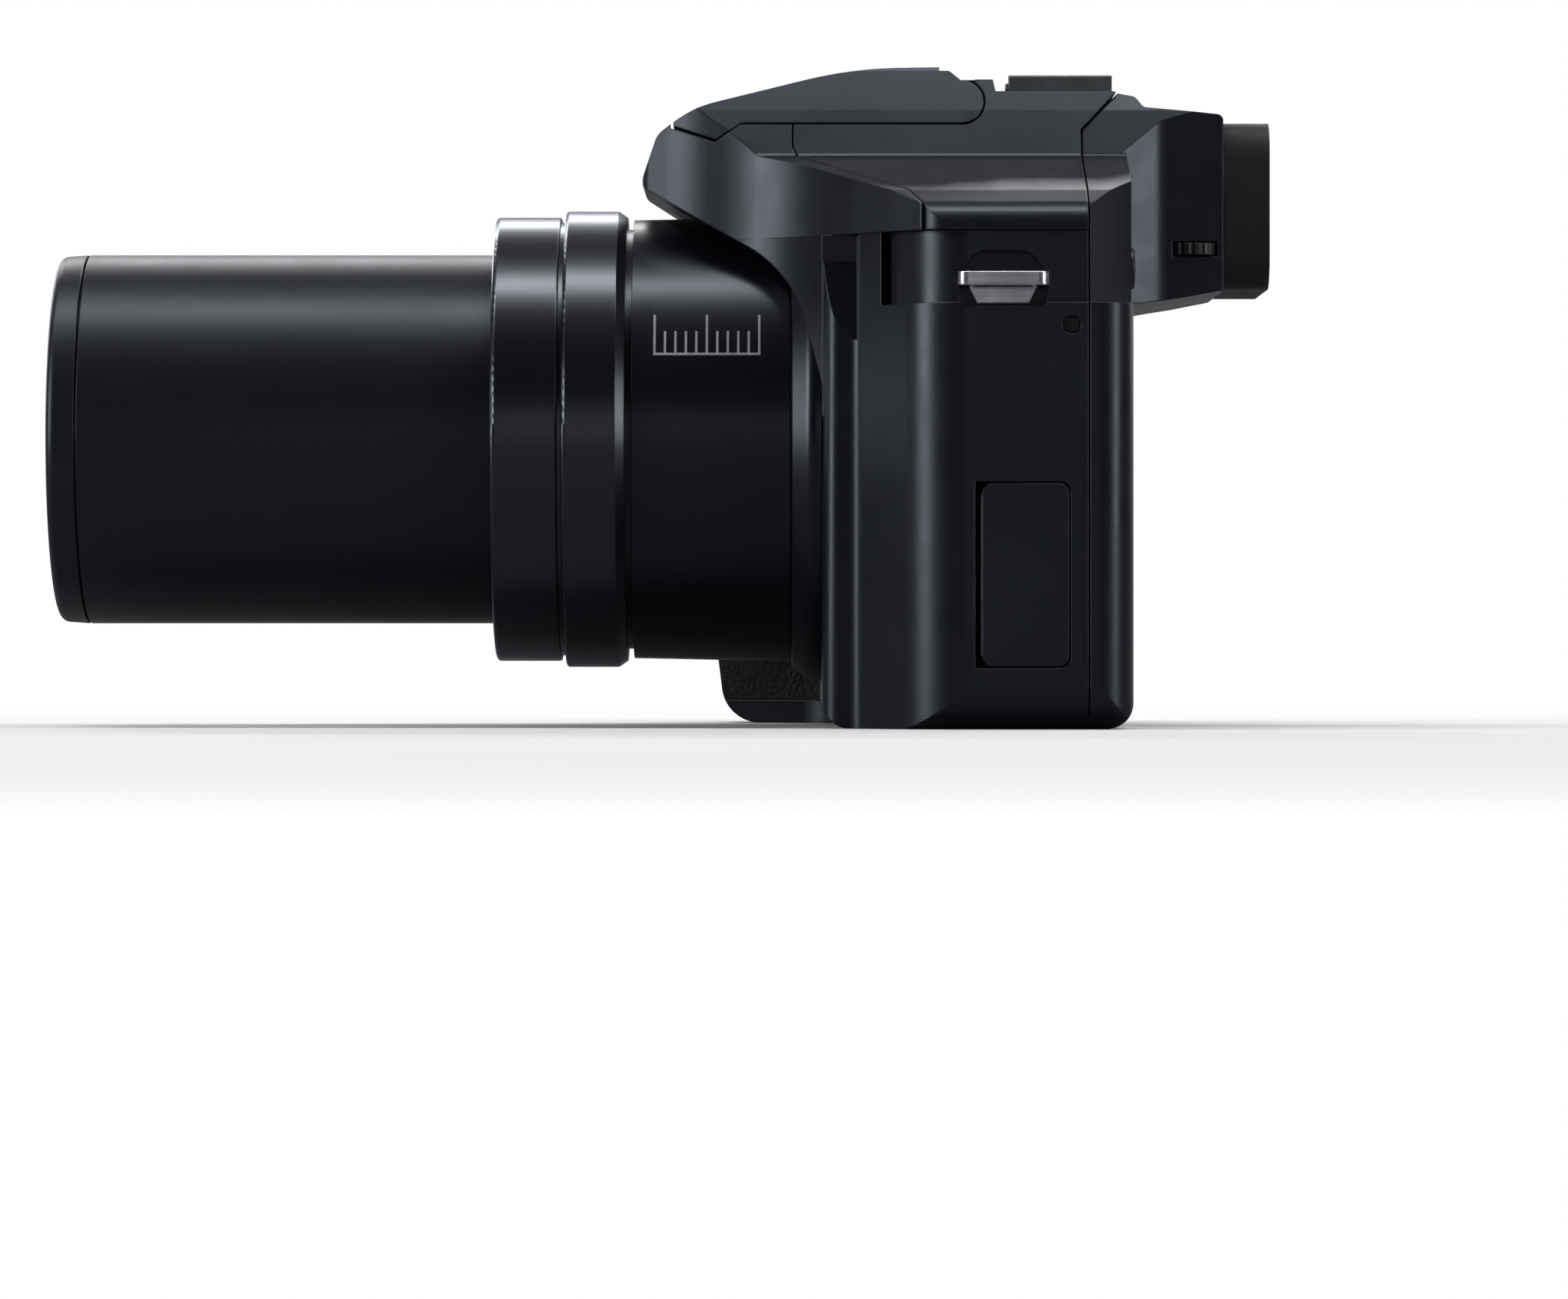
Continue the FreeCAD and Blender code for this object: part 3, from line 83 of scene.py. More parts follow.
def blend(tree, mask, under, over):
    """The colour over laid on the colour under by a mask; a colour is a socket or three numbers."""
    made = put(tree, "ShaderNodeMix", {"data_type": "RGBA"})
    tree.links.new(mask, made.inputs[0])
    for place, colour in ((6, under), (7, over)):
        if isinstance(colour, tuple):
            made.inputs[place].default_value = (*colour, 1)
        else:
            tree.links.new(colour, made.inputs[place])
    return made.outputs[2]


# Spark texture: an even fine grain, broken by a coarser one, and the slow patches of sheen on a moulding.
grain, takes, gives = new_group(
    "spark_texture",
    [("Grain", "NodeSocketFloat", 4000.0), ("Patch", "NodeSocketFloat", 40.0)],
    [("Height", "NodeSocketFloat"), ("Patches", "NodeSocketFloat")],
)
where = put(grain, "ShaderNodeTexCoord").outputs["Object"]
fine = put(grain, "ShaderNodeTexNoise", Detail=2.0, Roughness=0.6)
cells = put(grain, "ShaderNodeTexVoronoi", {"feature": "SMOOTH_F1"})
slow = put(grain, "ShaderNodeTexNoise", Detail=3.0, Roughness=0.55)
for texture in (fine, cells, slow):
    grain.links.new(where, texture.inputs["Vector"])
grain.links.new(takes.outputs["Grain"], fine.inputs["Scale"])
grain.links.new(arithmetic(grain, "MULTIPLY", takes.outputs["Grain"], 0.5), cells.inputs["Scale"])
grain.links.new(takes.outputs["Patch"], slow.inputs["Scale"])
both = arithmetic(grain, "MULTIPLY", cells.outputs["Distance"], 0.7)
grain.links.new(arithmetic(grain, "ADD", fine.outputs["Fac"], both), gives.inputs["Height"])
grain.links.new(spread(grain, slow.outputs["Fac"], 0.0, 1.0, 0.3, 0.7), gives.inputs["Patches"])

# Soft corners: the small radius that every moulded or pressed edge has, and where that edge is.
corners, takes, gives = new_group(
    "soft_corners",
    [("Radius", "NodeSocketFloat", 0.0003)],
    [("Normal", "NodeSocketVector"), ("Edge", "NodeSocketFloat")],
)
rounded = put(corners, "ShaderNodeBevel", {"samples": 6})
corners.links.new(takes.outputs["Radius"], rounded.inputs["Radius"])
flat = put(corners, "ShaderNodeNewGeometry").outputs["Normal"]
match = put(corners, "ShaderNodeVectorMath", {"operation": "DOT_PRODUCT"})
corners.links.new(rounded.outputs["Normal"], match.inputs[0])
corners.links.new(flat, match.inputs[1])
corners.links.new(rounded.outputs["Normal"], gives.inputs["Normal"])
corners.links.new(spread(corners, match.outputs["Value"], 1.0, 0.0, 0.75, 0.995), gives.inputs["Edge"])

# Handling: a film of skin grease in soft blots, specks of dust on what faces up, hairline scuffs.
handling, takes, gives = new_group(
    "handling_marks",
    [("Specks", "NodeSocketFloat", 900.0)],
    [("Grease", "NodeSocketFloat"), ("Dust", "NodeSocketFloat"), ("Scuffs", "NodeSocketFloat")],
)
where = put(handling, "ShaderNodeTexCoord").outputs["Object"]
blots = put(handling, "ShaderNodeTexNoise", Scale=95.0, Detail=4.0, Roughness=0.6, Distortion=0.6)
specks = put(handling, "ShaderNodeTexVoronoi", {"feature": "F1"}, Randomness=1.0)
drift = put(handling, "ShaderNodeTexNoise", Scale=130.0, Detail=3.0)
stretch = put(handling, "ShaderNodeMapping", Scale=(60.0, 900.0, 1400.0), Rotation=(0.3, 0.5, 0.2))
scratch = put(handling, "ShaderNodeTexNoise", Scale=1.0, Detail=1.0, Distortion=0.2)
for texture in (blots, specks, drift):
    handling.links.new(where, texture.inputs["Vector"])
handling.links.new(where, stretch.inputs["Vector"])
handling.links.new(stretch.outputs["Vector"], scratch.inputs["Vector"])
handling.links.new(takes.outputs["Specks"], specks.inputs["Scale"])
upward = put(handling, "ShaderNodeSeparateXYZ")
handling.links.new(put(handling, "ShaderNodeNewGeometry").outputs["Normal"], upward.inputs[0])
speck = spread(handling, specks.outputs["Distance"], 1.0, 0.0, 0.05, 0.12)
settled = arithmetic(handling, "MULTIPLY", speck, spread(handling, drift.outputs["Fac"], 0.0, 1.0, 0.5, 0.62))
lying = arithmetic(handling, "MULTIPLY", settled, spread(handling, upward.outputs["Z"], 0.15, 1.0, 0.0, 0.8))
handling.links.new(spread(handling, blots.outputs["Fac"], 0.0, 1.0, 0.48, 0.68), gives.inputs["Grease"])
handling.links.new(lying, gives.inputs["Dust"])
handling.links.new(spread(handling, scratch.outputs["Fac"], 0.0, 1.0, 0.70, 0.74), gives.inputs["Scuffs"])


def new_material(name, colour, roughness, sockets=None):
    """A material with its own shader; what is the same all over is set on the shader's sockets."""
    made = bpy.data.materials.new(name)
    made.use_nodes = True
    shader = made.node_tree.nodes["Principled BSDF"]
    shader.inputs["Base Color"].default_value = (*colour, 1)
    shader.inputs["Roughness"].default_value = roughness
    for socket, value in (sockets or {}).items():
        shader.inputs[socket].default_value = value
    return made, made.node_tree, shader


def feed(shader, socket, value):
    """Leads a value that changes over the surface into one of the shader's sockets."""
    shader.id_data.links.new(value, shader.inputs[socket])


def effect(tree, name, **values):
    """One of the shared effects, placed in a material with its own values."""
    made = put(tree, "ShaderNodeGroup", {"node_tree": bpy.data.node_groups[name]})
    for socket, value in values.items():
        made.inputs[socket].default_value = value
    return made.outputs


def relief(tree, shader, height, depth, strength, normal):
    """Feeds the shader's normal with a relief of a given depth in metres, on top of another normal."""
    bump = put(tree, "ShaderNodeBump", Strength=strength, Distance=depth)
    tree.links.new(height, bump.inputs["Height"])
    tree.links.new(normal, bump.inputs["Normal"])
    feed(shader, "Normal", bump.outputs["Normal"])


dust_grey = (0.30, 0.29, 0.27)


def moulded_plastic(name, colour, wear_and_highlight, shine, grain_size, depth, corner=0.3, sockets=None):
    """Moulded plastic with its grain in mm, polished edges painted lighter as wear and painted highlight,
    grease and dust; shine is two roughnesses.
    """
    made, tree, shader = new_material(name, colour, shine[1], sockets)
    texture = effect(tree, "spark_texture", Grain=1 / (grain_size * MM))
    edge = effect(tree, "soft_corners", Radius=corner * MM)
    marks = effect(tree, "handling_marks")
    warmer = tuple(channel * 1.35 for channel in colour)
    base = blend(tree, texture["Patches"], colour, warmer)
    # The edges are painted lighter: partly rubbed wear, partly a painted highlight along every edge.
    edge_wear_and_highlight = arithmetic(tree, "MULTIPLY", edge["Edge"], spread(tree, texture["Patches"], 0.25, 0.8))
    base = blend(tree, edge_wear_and_highlight, base, wear_and_highlight)
    base = blend(tree, arithmetic(tree, "MULTIPLY", marks["Scuffs"], 0.25), base, wear_and_highlight)
    base = blend(tree, arithmetic(tree, "MULTIPLY", marks["Dust"], 0.10), base, dust_grey)
    feed(shader, "Base Color", base)
    sheen = spread(tree, marks["Grease"], shine[1], shine[0])
    smoother = arithmetic(tree, "MULTIPLY", edge_wear_and_highlight, 0.08)
    feed(shader, "Roughness", arithmetic(tree, "SUBTRACT", sheen, smoother))
    relief(tree, shader, texture["Height"], depth * MM, 0.6, edge["Normal"])
    return made


def finish(material, *names):
    """Gives these pieces of the frame a finish."""
    for name in names:
        node[name].data.materials.clear()
        node[name].data.materials.append(material)


cool_gloss = {"Specular Tint": (0.80, 0.88, 1.0, 1)}
casing_plastic = moulded_plastic(
    "casing_plastic", (0.0052, 0.0064, 0.0108), (0.018, 0.021, 0.029), (0.29, 0.34), 0.22, 0.006,
    sockets=cool_gloss,
)
finish(
    casing_plastic, "front_cover", "top_cover", "rear_cover", "bottom_cover", "viewfinder_housing",
    "flash_head", "battery_door", "terminal_door",
)

# Rubber: the grip's skin, the thumb rest and the eyecup. Black synthetic rubber, the grip with a pressed
# leather-like pebble, the eyecup smooth and softer; glued or clipped on. Dust clings to all three.


def pressed_rubber(name, colour, pebble, depth, roughness):
    """Rubber with a pebble pressed into it, in mm across, painted shade in the hollows between the pebbles,
    and dust.
    """
    made, tree, shader = new_material(
        name, colour, roughness, {"Sheen Weight": 0.06, "Sheen Roughness": 0.5},
    )
    where = put(tree, "ShaderNodeTexCoord").outputs["Object"]
    wander = put(tree, "ShaderNodeTexNoise", Scale=0.35 / (pebble * MM), Detail=2.0)
    tree.links.new(where, wander.inputs["Vector"])
    shift = put(tree, "ShaderNodeVectorMath", {"operation": "MULTIPLY_ADD"})
    tree.links.new(wander.outputs["Color"], shift.inputs[0])
    shift.inputs[1].default_value = (pebble * MM, pebble * MM, pebble * MM)
    tree.links.new(where, shift.inputs[2])
    pebbles = put(tree, "ShaderNodeTexVoronoi", {"feature": "DISTANCE_TO_EDGE"}, Scale=1 / (pebble * MM))
    tree.links.new(shift.outputs[0], pebbles.inputs["Vector"])
    crown = spread(tree, pebbles.outputs["Distance"], 0.0, 1.0, 0.0, 0.28)
    edge = effect(tree, "soft_corners", Radius=0.4 * MM)
    marks = effect(tree, "handling_marks", Specks=1300.0)
    lighter = tuple(channel * 1.8 for channel in colour)
    # Painted shade: the hollows between the pebbles are darker than their crowns.
    base = blend(tree, crown, tuple(channel * 0.7 for channel in colour), colour)
    base = blend(tree, arithmetic(tree, "MULTIPLY", marks["Grease"], 0.35), base, lighter)
    base = blend(tree, arithmetic(tree, "MULTIPLY", marks["Dust"], 0.22), base, (0.28, 0.27, 0.25))
    feed(shader, "Base Color", base)
    feed(shader, "Roughness", spread(tree, marks["Grease"], roughness + 0.06, roughness - 0.10))
    fine = effect(tree, "spark_texture", Grain=9000.0)
    height = arithmetic(tree, "ADD", crown, arithmetic(tree, "MULTIPLY", fine["Height"], 0.12))
    relief(tree, shader, height, depth * MM, 0.8, edge["Normal"])
    return made


grip_skin = pressed_rubber("grip_skin", (0.0085, 0.0092, 0.0118), 1.1, 0.09, 0.56)
eyecup_rubber = pressed_rubber("eyecup_rubber", (0.0058, 0.0066, 0.0095), 0.35, 0.008, 0.62)
finish(grip_skin, "grip_rubber", "thumb_rest")
finish(eyecup_rubber, "eyecup")

# The lens mount: collar, tube, the two decorative rings and the extending barrel with its nose ring.
# Plastic turned true and painted, smoother than the casing; the two rings are glossier than the rest.
# Each slides or seats inside the next. A short scale of plain strokes is printed on the tube's side.

AXIS = 42.7 * MM


def turned_plastic(name, colour, wear_and_highlight, shine, corner=0.25, sockets=None):
    """Smooth round-moulded plastic with the faint turning lines that run round the lens axis."""
    made, tree, shader = new_material(name, colour, shine[1], sockets)
    where = put(tree, "ShaderNodeTexCoord").outputs["Object"]
    along = put(tree, "ShaderNodeMapping", Scale=(20.0, 5200.0, 20.0))
    lines = put(tree, "ShaderNodeTexNoise", Scale=1.0, Detail=2.0)
    tree.links.new(where, along.inputs["Vector"])
    tree.links.new(along.outputs["Vector"], lines.inputs["Vector"])
    texture = effect(tree, "spark_texture", Grain=5200.0, Patch=55.0)
    edge = effect(tree, "soft_corners", Radius=corner * MM)
    marks = effect(tree, "handling_marks")
    base = blend(tree, texture["Patches"], colour, tuple(channel * 1.25 for channel in colour))
    # The edges are painted lighter: partly rubbed wear, partly a painted highlight along every edge.
    edge_wear_and_highlight = arithmetic(tree, "MULTIPLY", edge["Edge"], spread(tree, texture["Patches"], 0.3, 0.9))
    base = blend(tree, edge_wear_and_highlight, base, wear_and_highlight)
    base = blend(tree, arithmetic(tree, "MULTIPLY", marks["Dust"], 0.08), base, dust_grey)
    feed(shader, "Base Color", base)
    sheen = spread(tree, arithmetic(tree, "MULTIPLY", marks["Grease"], 0.35), shine[1], shine[0])
    uneven = spread(tree, lines.outputs["Fac"], -0.02, 0.02)
    feed(shader, "Roughness", arithmetic(tree, "ADD", sheen, uneven))
    ridges = arithmetic(tree, "MULTIPLY", lines.outputs["Fac"], 0.5)
    height = arithmetic(tree, "ADD", ridges, texture["Height"])
    relief(tree, shader, height, 0.002 * MM, 0.5, edge["Normal"])
    return made


barrel_paint = turned_plastic(
    "barrel_paint", (0.0045, 0.0054, 0.0088), (0.024, 0.027, 0.035), (0.31, 0.39), sockets=cool_gloss,
)
tube_paint = turned_plastic(
    "tube_paint", (0.0040, 0.0048, 0.0076), (0.024, 0.027, 0.035), (0.22, 0.29), sockets=cool_gloss,
)
ring_gloss = turned_plastic(
    "ring_gloss", (0.0035, 0.0042, 0.0068), (0.020, 0.022, 0.030), (0.21, 0.26),
    sockets={**cool_gloss, "Coat Weight": 0.8, "Coat Roughness": 0.28, "Coat Tint": (0.86, 0.92, 1.0, 1)},
)
finish(barrel_paint, "zoom_barrel", "nose_ring")
finish(tube_paint, "lens_tube", "lens_collar")
finish(ring_gloss, "tube_ring", "front_ring")


def mesh_piece(name, points, faces, body, material, smooth=False):
    """A closed or flat piece from its points in metres, finished, and carried by a body of the frame."""
    mesh = bpy.data.meshes.new(name)
    mesh.from_pydata([tuple(point) for point in points], [], faces)
    mesh.validate()
    tidy = bmesh.new()
    tidy.from_mesh(mesh)
    bmesh.ops.recalc_face_normals(tidy, faces=tidy.faces)
    tidy.to_mesh(mesh)
    tidy.free()
    for face in mesh.polygons:
        face.use_smooth = smooth
    mesh.materials.append(material)
    piece = bpy.data.objects.new(name, mesh)
    bpy.context.collection.objects.link(piece)
    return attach(piece, body)


def lathe(name, profile, body, material, centre=(0, 0, AXIS),
          turn=Matrix.Rotation(math.pi / 2, 3, "X"), steps=128, crisp=35):
    """A closed ring from a profile of (along, radius) in mm, turned about an axis through a centre.

    It is smooth round its axis and keeps its edges where they bend by more than crisp degrees.
    """
    count = len(profile)
    points = []
    for step in range(steps):
        angle = 2 * math.pi * step / steps
        for along, radius in profile:
            spot = Vector((radius * math.cos(angle), radius * math.sin(angle), -along)) * MM
            points.append(turn @ spot + Vector(centre))
    faces = []
    for step in range(steps):
        here, there = step * count, (step + 1) % steps * count
        for corner in range(count):
            nearby = (corner + 1) % count
            faces.append((here + corner, here + nearby, there + nearby, there + corner))
    piece = mesh_piece(name, points, faces, body, material, smooth=True)
    piece.data.set_sharp_from_angle(angle=math.radians(crisp))


# The thread inside the nose, 0.75 mm from crest to crest, and the blackened steps in front of the glass,
# which end in the ring that holds it. Each profile is (along, radius) in mm.
mouth, pitch, root, crest = -131.2, 0.75, 25.52, 25.2
thread = [(mouth, 25.55)]
for count in range(5):
    along = mouth + pitch * count
    thread += [(along + 0.2, root), (along + 0.45, crest), (along + 0.7, root)]
thread += [(-127.4, 25.58)]
lathe("filter_thread", thread, "front_group", barrel_paint, crisp=20)
step_length, step_height = 0.38, 0.4
light_steps = [(-127.4, 25.4)]
for count in range(7):
    further, lower = step_length * count, step_height * count
    light_steps += [(-127.3 + further, 25.05 - lower), (-127.0 + further, 25.0 - lower)]
light_steps += [(-124.6, 22.3), (-124.4, 22.3), (-124.4, 22.7), (-127.2, 25.5)]
lathe("light_steps", light_steps, "front_group", barrel_paint, crisp=20)

# Strokes printed on the tube: eleven fine lines across a base line, every fifth one longer.
print_white, tree, shader = new_material("print_white", (0.34, 0.35, 0.38), 0.45)
texture = effect(tree, "spark_texture", Grain=6000.0, Patch=700.0)
feed(shader, "Base Color", blend(tree, texture["Patches"], (0.30, 0.31, 0.34), (0.40, 0.41, 0.44)))


def tube_radius(along):
    """The radius of the print on the tube at a place along the lens, in mm; the tube tapers forwards."""
    root_place, root_radius = 23.05, 33.1
    tip_place, tip_radius = 46.2, 32.6
    paint = 0.02
    return root_radius + (along + root_place) * (root_radius - tip_radius) / (tip_place - root_place) + paint


def stroke_on_tube(low, high, start, end):
    """Corners and faces of one printed patch between two places along the tube and two heights round it."""
    points = []
    rows = 6
    for row in range(rows + 1):
        height = start + (end - start) * row / rows
        for along in (low, high):
            radius = tube_radius(along)
            angle = math.asin(height / radius)
            mark = Vector((radius * math.cos(angle), along, radius * math.sin(angle))) * MM
            points.append(mark + Vector((0, 0, AXIS)))
    return points, [(2 * row, 2 * row + 1, 2 * row + 3, 2 * row + 2) for row in range(rows)]


points, faces = [], []
line_low, line_high, half_width, stroke_gap = 11.4, 11.75, 0.17, 1.52
strokes = [(-43.0, -27.4, line_low, line_high)]
for count in range(11):
    middle = -42.8 + stroke_gap * count
    length = 5.6 if count % 5 == 0 else 3.2
    strokes.append((middle - half_width, middle + half_width, line_high, line_high + length))
for stroke in strokes:
    more, sides = stroke_on_tube(*stroke)
    faces += [tuple(corner + len(points) for corner in side) for side in sides]
    points += more
mesh_piece("tube_scale", points, faces, "casing", print_white, smooth=True)

# The glass: the front element, the two groups inside, the eyepiece. Optical glass with a thin coating that
# throws back green and magenta. Behind the front element blackened rings stop stray light.


def coated_glass(name, tint, flash, smear):
    """Clear coated glass with the faintest smear of wiping on it."""
    made, tree, shader = new_material(
        name, tint, 0.02,
        {"Transmission Weight": 1.0, "IOR": 1.52, "Specular Tint": (*flash, 1), "Coat Weight": 0.25,
         "Coat Roughness": 0.03, "Coat Tint": (*flash, 1), "Specular IOR Level": 0.6},
    )
    marks = effect(tree, "handling_marks")
    feed(shader, "Roughness", spread(tree, marks["Grease"], 0.0, smear))
    feed(shader, "Base Color", blend(tree, marks["Dust"], tint, (0.6, 0.6, 0.6)))
    return made


front_glass = coated_glass("front_glass", (0.86, 0.90, 0.97), (0.45, 0.80, 0.62), 0.03)
inner_glass = coated_glass("inner_glass", (0.85, 0.82, 0.95), (0.75, 0.45, 0.85), 0.01)
eyepiece_glass = coated_glass("eyepiece_glass", (0.85, 0.88, 0.95), (0.55, 0.60, 0.95), 0.05)
finish(front_glass, "front_lens")
finish(inner_glass, "second_lens_group", "focus_carrier")
finish(eyepiece_glass, "eyepiece_lens")

# Matt black for the baffles, the chassis and the chips; also used as painted shade in the screw recesses and
# the seam under the flash.
matt_black_and_shade = moulded_plastic(
    "matt_black_and_shade", (0.004, 0.004, 0.005), (0.010, 0.010, 0.011), (0.55, 0.65), 0.15, 0.01,
)
rim, thick = 25.9, 1.0
for number, (front, hole) in enumerate(((-115.6, 19.6), (-110.5, 18.4), (-105.4, 17.3), (-100.3, 16.4))):
    ring = [(front, hole), (front, rim), (front + thick, rim), (front + thick, hole + 0.6)]
    lathe(f"baffle_{number + 1}", ring, "front_group", matt_black_and_shade, steps=96)
finish(matt_black_and_shade, "lens_chassis", "cam_barrel", "microphone_plate")

# Bare and plated metal: strap lugs of pressed steel, the accessory shoe, pins, screws, the brass insert of
# the tripod thread, the shutter button's turned cap. Brushed or turned, with wear at the edges.


def brushed_metal(name, colour, dark, shine, lines, corner=0.15, metallic=1.0):
    """Metal with fine lines along one direction; lines are three scales, small along the lines."""
    made, tree, shader = new_material(name, colour, shine[1], {"Metallic": metallic})
    where = put(tree, "ShaderNodeTexCoord").outputs["Object"]
    along = put(tree, "ShaderNodeMapping", Scale=lines)
    strokes = put(tree, "ShaderNodeTexNoise", Scale=1.0, Detail=3.0, Roughness=0.7)
    tree.links.new(where, along.inputs["Vector"])
    tree.links.new(along.outputs["Vector"], strokes.inputs["Vector"])
    texture = effect(tree, "spark_texture", Grain=3000.0, Patch=260.0)
    edge = effect(tree, "soft_corners", Radius=corner * MM)
    base = blend(tree, texture["Patches"], dark, colour)
    base = blend(tree, edge["Edge"], base, tuple(min(1.0, channel * 1.25) for channel in colour))
    feed(shader, "Base Color", base)
    feed(shader, "Roughness", spread(tree, strokes.outputs["Fac"], shine[0], shine[1], 0.3, 0.7))
    relief(tree, shader, strokes.outputs["Fac"], 0.003 * MM, 0.5, edge["Normal"])
    return made


lug_steel = brushed_metal(
    "lug_steel", (0.64, 0.66, 0.70), (0.48, 0.50, 0.54), (0.22, 0.36), (900.0, 60.0, 4000.0), 0.35,
)
pin_steel = brushed_metal(
    "pin_steel", (0.55, 0.56, 0.58), (0.42, 0.43, 0.45), (0.24, 0.36), (60.0, 3000.0, 3000.0),
)
bush_brass = brushed_metal(
    "bush_brass", (0.72, 0.55, 0.29), (0.55, 0.40, 0.20), (0.24, 0.38), (2500.0, 2500.0, 60.0),
)
finish(lug_steel, "strap_lug_left", "strap_lug_right")
finish(pin_steel, "flash_pin", "focus_screw", "zoom_motor", "card_slot", "terminal_block")
finish(bush_brass, "tripod_socket", "zoom_pinion")
shoe_paint = brushed_metal(
    "shoe_paint", (0.20, 0.205, 0.22), (0.14, 0.145, 0.155), (0.34, 0.46), (3000.0, 80.0, 3000.0), 0.3, 0.75,
)
finish(shoe_paint, "hot_shoe")
screw_black = brushed_metal(
    "screw_black", (0.045, 0.045, 0.050), (0.02, 0.02, 0.024), (0.3, 0.45), (2500.0, 2500.0, 80.0),
)
finish(screw_black, "case_screws")

# The seam under the flash: a thin black strip of painted shade in the seam between the front and the top
# cover, laid on the front cover; it closes the gap so that the seam shows dark.

box_faces = [(0, 1, 2, 3), (4, 5, 6, 7), (0, 1, 5, 4), (1, 2, 6, 5), (2, 3, 7, 6), (3, 0, 4, 7)]
strip = ((-22, -22.82), (22, -22.82), (22, -22.63), (-22, -22.63))
seam_shade = [Vector((x, y, z)) * MM for z in (71.5, 87.5) for x, y in strip]
mesh_piece("seam_shade_strip", seam_shade, box_faces, "casing", matt_black_and_shade)

# The accessory shoe's contacts: a black insert laid on its plate, with one large and four small sprung
# contacts, turned from brass and gilt.

plate = ((-8.7, 10.2), (8.7, 10.2), (8.7, 23.9), (-8.7, 23.9))
insert = [Vector((x, y, z)) * MM for z in (93.2, 93.32) for x, y in plate]
mesh_piece("shoe_insert", insert, box_faces, "casing", matt_black_and_shade)
contact_gilt = brushed_metal(
    "contact_gilt", (0.83, 0.66, 0.36), (0.68, 0.52, 0.27), (0.18, 0.30), (900.0, 900.0, 900.0),
)
UPWARD = Matrix.Identity(3)
contacts = (
    (0, 16.4, 1.15), (-3.4, 19.6, 0.65), (3.4, 19.6, 0.65), (-2.2, 13.4, 0.65), (2.4, 13.4, 0.65),
)
for number, (across, along, radius) in enumerate(contacts):
    dome = [(-93.3, 0.0), (-93.3, radius), (-93.42, radius * 0.92), (-93.5, radius * 0.5), (-93.52, 0.0)]
    centre = (across * MM, along * MM, 0)
    lathe(f"shoe_contact_{number + 1}", dome, "casing", contact_gilt, centre, UPWARD, 24, 60)

# Windows: the rear display under hard-coated glass, its lit area a shade greyer than its black border, the
# red lens of the focus lamp, and the flash's clear window with its upright ribs.

screen_glass, tree, shader = new_material(
    "screen_glass", (0.004, 0.004, 0.005), 0.06, {"Coat Weight": 0.6, "Coat Roughness": 0.03},
)
where = put(tree, "ShaderNodeTexCoord").outputs["Object"]
apart = put(tree, "ShaderNodeSeparateXYZ")
tree.links.new(where, apart.inputs[0])
inside = []
for direction, middle, half in (("X", 0.01325, 0.0305), ("Z", 0.033, 0.0229)):
    offset = arithmetic(tree, "SUBTRACT", apart.outputs[direction], middle)
    inside.append(arithmetic(tree, "LESS_THAN", arithmetic(tree, "ABSOLUTE", offset, 0.0), half))
lit_area = arithmetic(tree, "MULTIPLY", *inside)
marks = effect(tree, "handling_marks")
feed(shader, "Base Color", blend(tree, lit_area, (0.004, 0.004, 0.005), (0.013, 0.015, 0.021)))
feed(shader, "Roughness", spread(tree, marks["Grease"], 0.04, 0.16))
finish(screen_glass, "display_window", "display_panel")

lamp_lens, tree, shader = new_material(
    "lamp_lens", (0.35, 0.07, 0.03), 0.12, {"Transmission Weight": 0.5, "IOR": 1.49},
)
texture = effect(tree, "spark_texture", Grain=2600.0, Patch=500.0)
edge = effect(tree, "soft_corners", Radius=0.2 * MM)
feed(shader, "Base Color", blend(tree, texture["Patches"], (0.30, 0.05, 0.02), (0.42, 0.10, 0.05)))
relief(tree, shader, texture["Height"], 0.004 * MM, 0.4, edge["Normal"])
finish(lamp_lens, "focus_lamp_window")

flash_clear, tree, shader = new_material(
    "flash_clear", (0.78, 0.78, 0.75), 0.15, {"Transmission Weight": 0.6, "IOR": 1.49},
)
where = put(tree, "ShaderNodeTexCoord").outputs["Object"]
ribs = put(tree, "ShaderNodeTexWave", {"bands_direction": "X"}, Scale=330.0)
tree.links.new(where, ribs.inputs["Vector"])
edge = effect(tree, "soft_corners", Radius=0.2 * MM)
marks = effect(tree, "handling_marks")
feed(shader, "Base Color", blend(tree, marks["Grease"], (0.80, 0.80, 0.77), (0.70, 0.71, 0.70)))
feed(shader, "Roughness", spread(tree, marks["Grease"], 0.10, 0.22))
relief(tree, shader, ribs.outputs["Fac"], 0.2 * MM, 0.7, edge["Normal"])
finish(flash_clear, "flash_window")

# Controls: buttons, the four-way pad, dials, the zoom lever and the power switch. Satin black plastic a
# little smoother than the casing; the shutter button's cap is turned metal. Their symbols are printed.

control_plastic = moulded_plastic(
    "control_plastic", (0.014, 0.015, 0.018), (0.045, 0.047, 0.052), (0.30, 0.40), 0.16, 0.004, 0.2,
)
dial_plastic = moulded_plastic(
    "dial_plastic", (0.012, 0.013, 0.016), (0.050, 0.052, 0.058), (0.32, 0.42), 0.18, 0.005, 0.15,
)
finish(
    control_plastic, "movie_button", "burst_button", "flash_button", "viewfinder_button", "lock_button",
    "playback_button", "display_button", "menu_button", "four_way_pad", "set_button", "power_switch",
    "door_latch",
)
finish(dial_plastic, "mode_dial", "rear_dial", "zoom_lever", "dioptre_dial")
shutter_cap = brushed_metal(
    "shutter_cap", (0.16, 0.165, 0.18), (0.11, 0.115, 0.125), (0.26, 0.36), (3200.0, 3200.0, 60.0), 0.3,
)
finish(shutter_cap, "shutter_button")

# Printed symbols: plain signs in pale paint on the buttons, the pad, the dial and the deck, a red spot on
# the film button. Each is a thin closed layer that rides on the piece it is printed on.

REARWARD = Matrix(((-1, 0, 0), (0, 0, 1), (0, 1, 0)))
SIDEWARD = Matrix(((0, 0, 1), (1, 0, 0), (0, 1, 0)))
DOWNWARD = Matrix(((-1, 0, 0), (0, 1, 0), (0, 0, -1)))


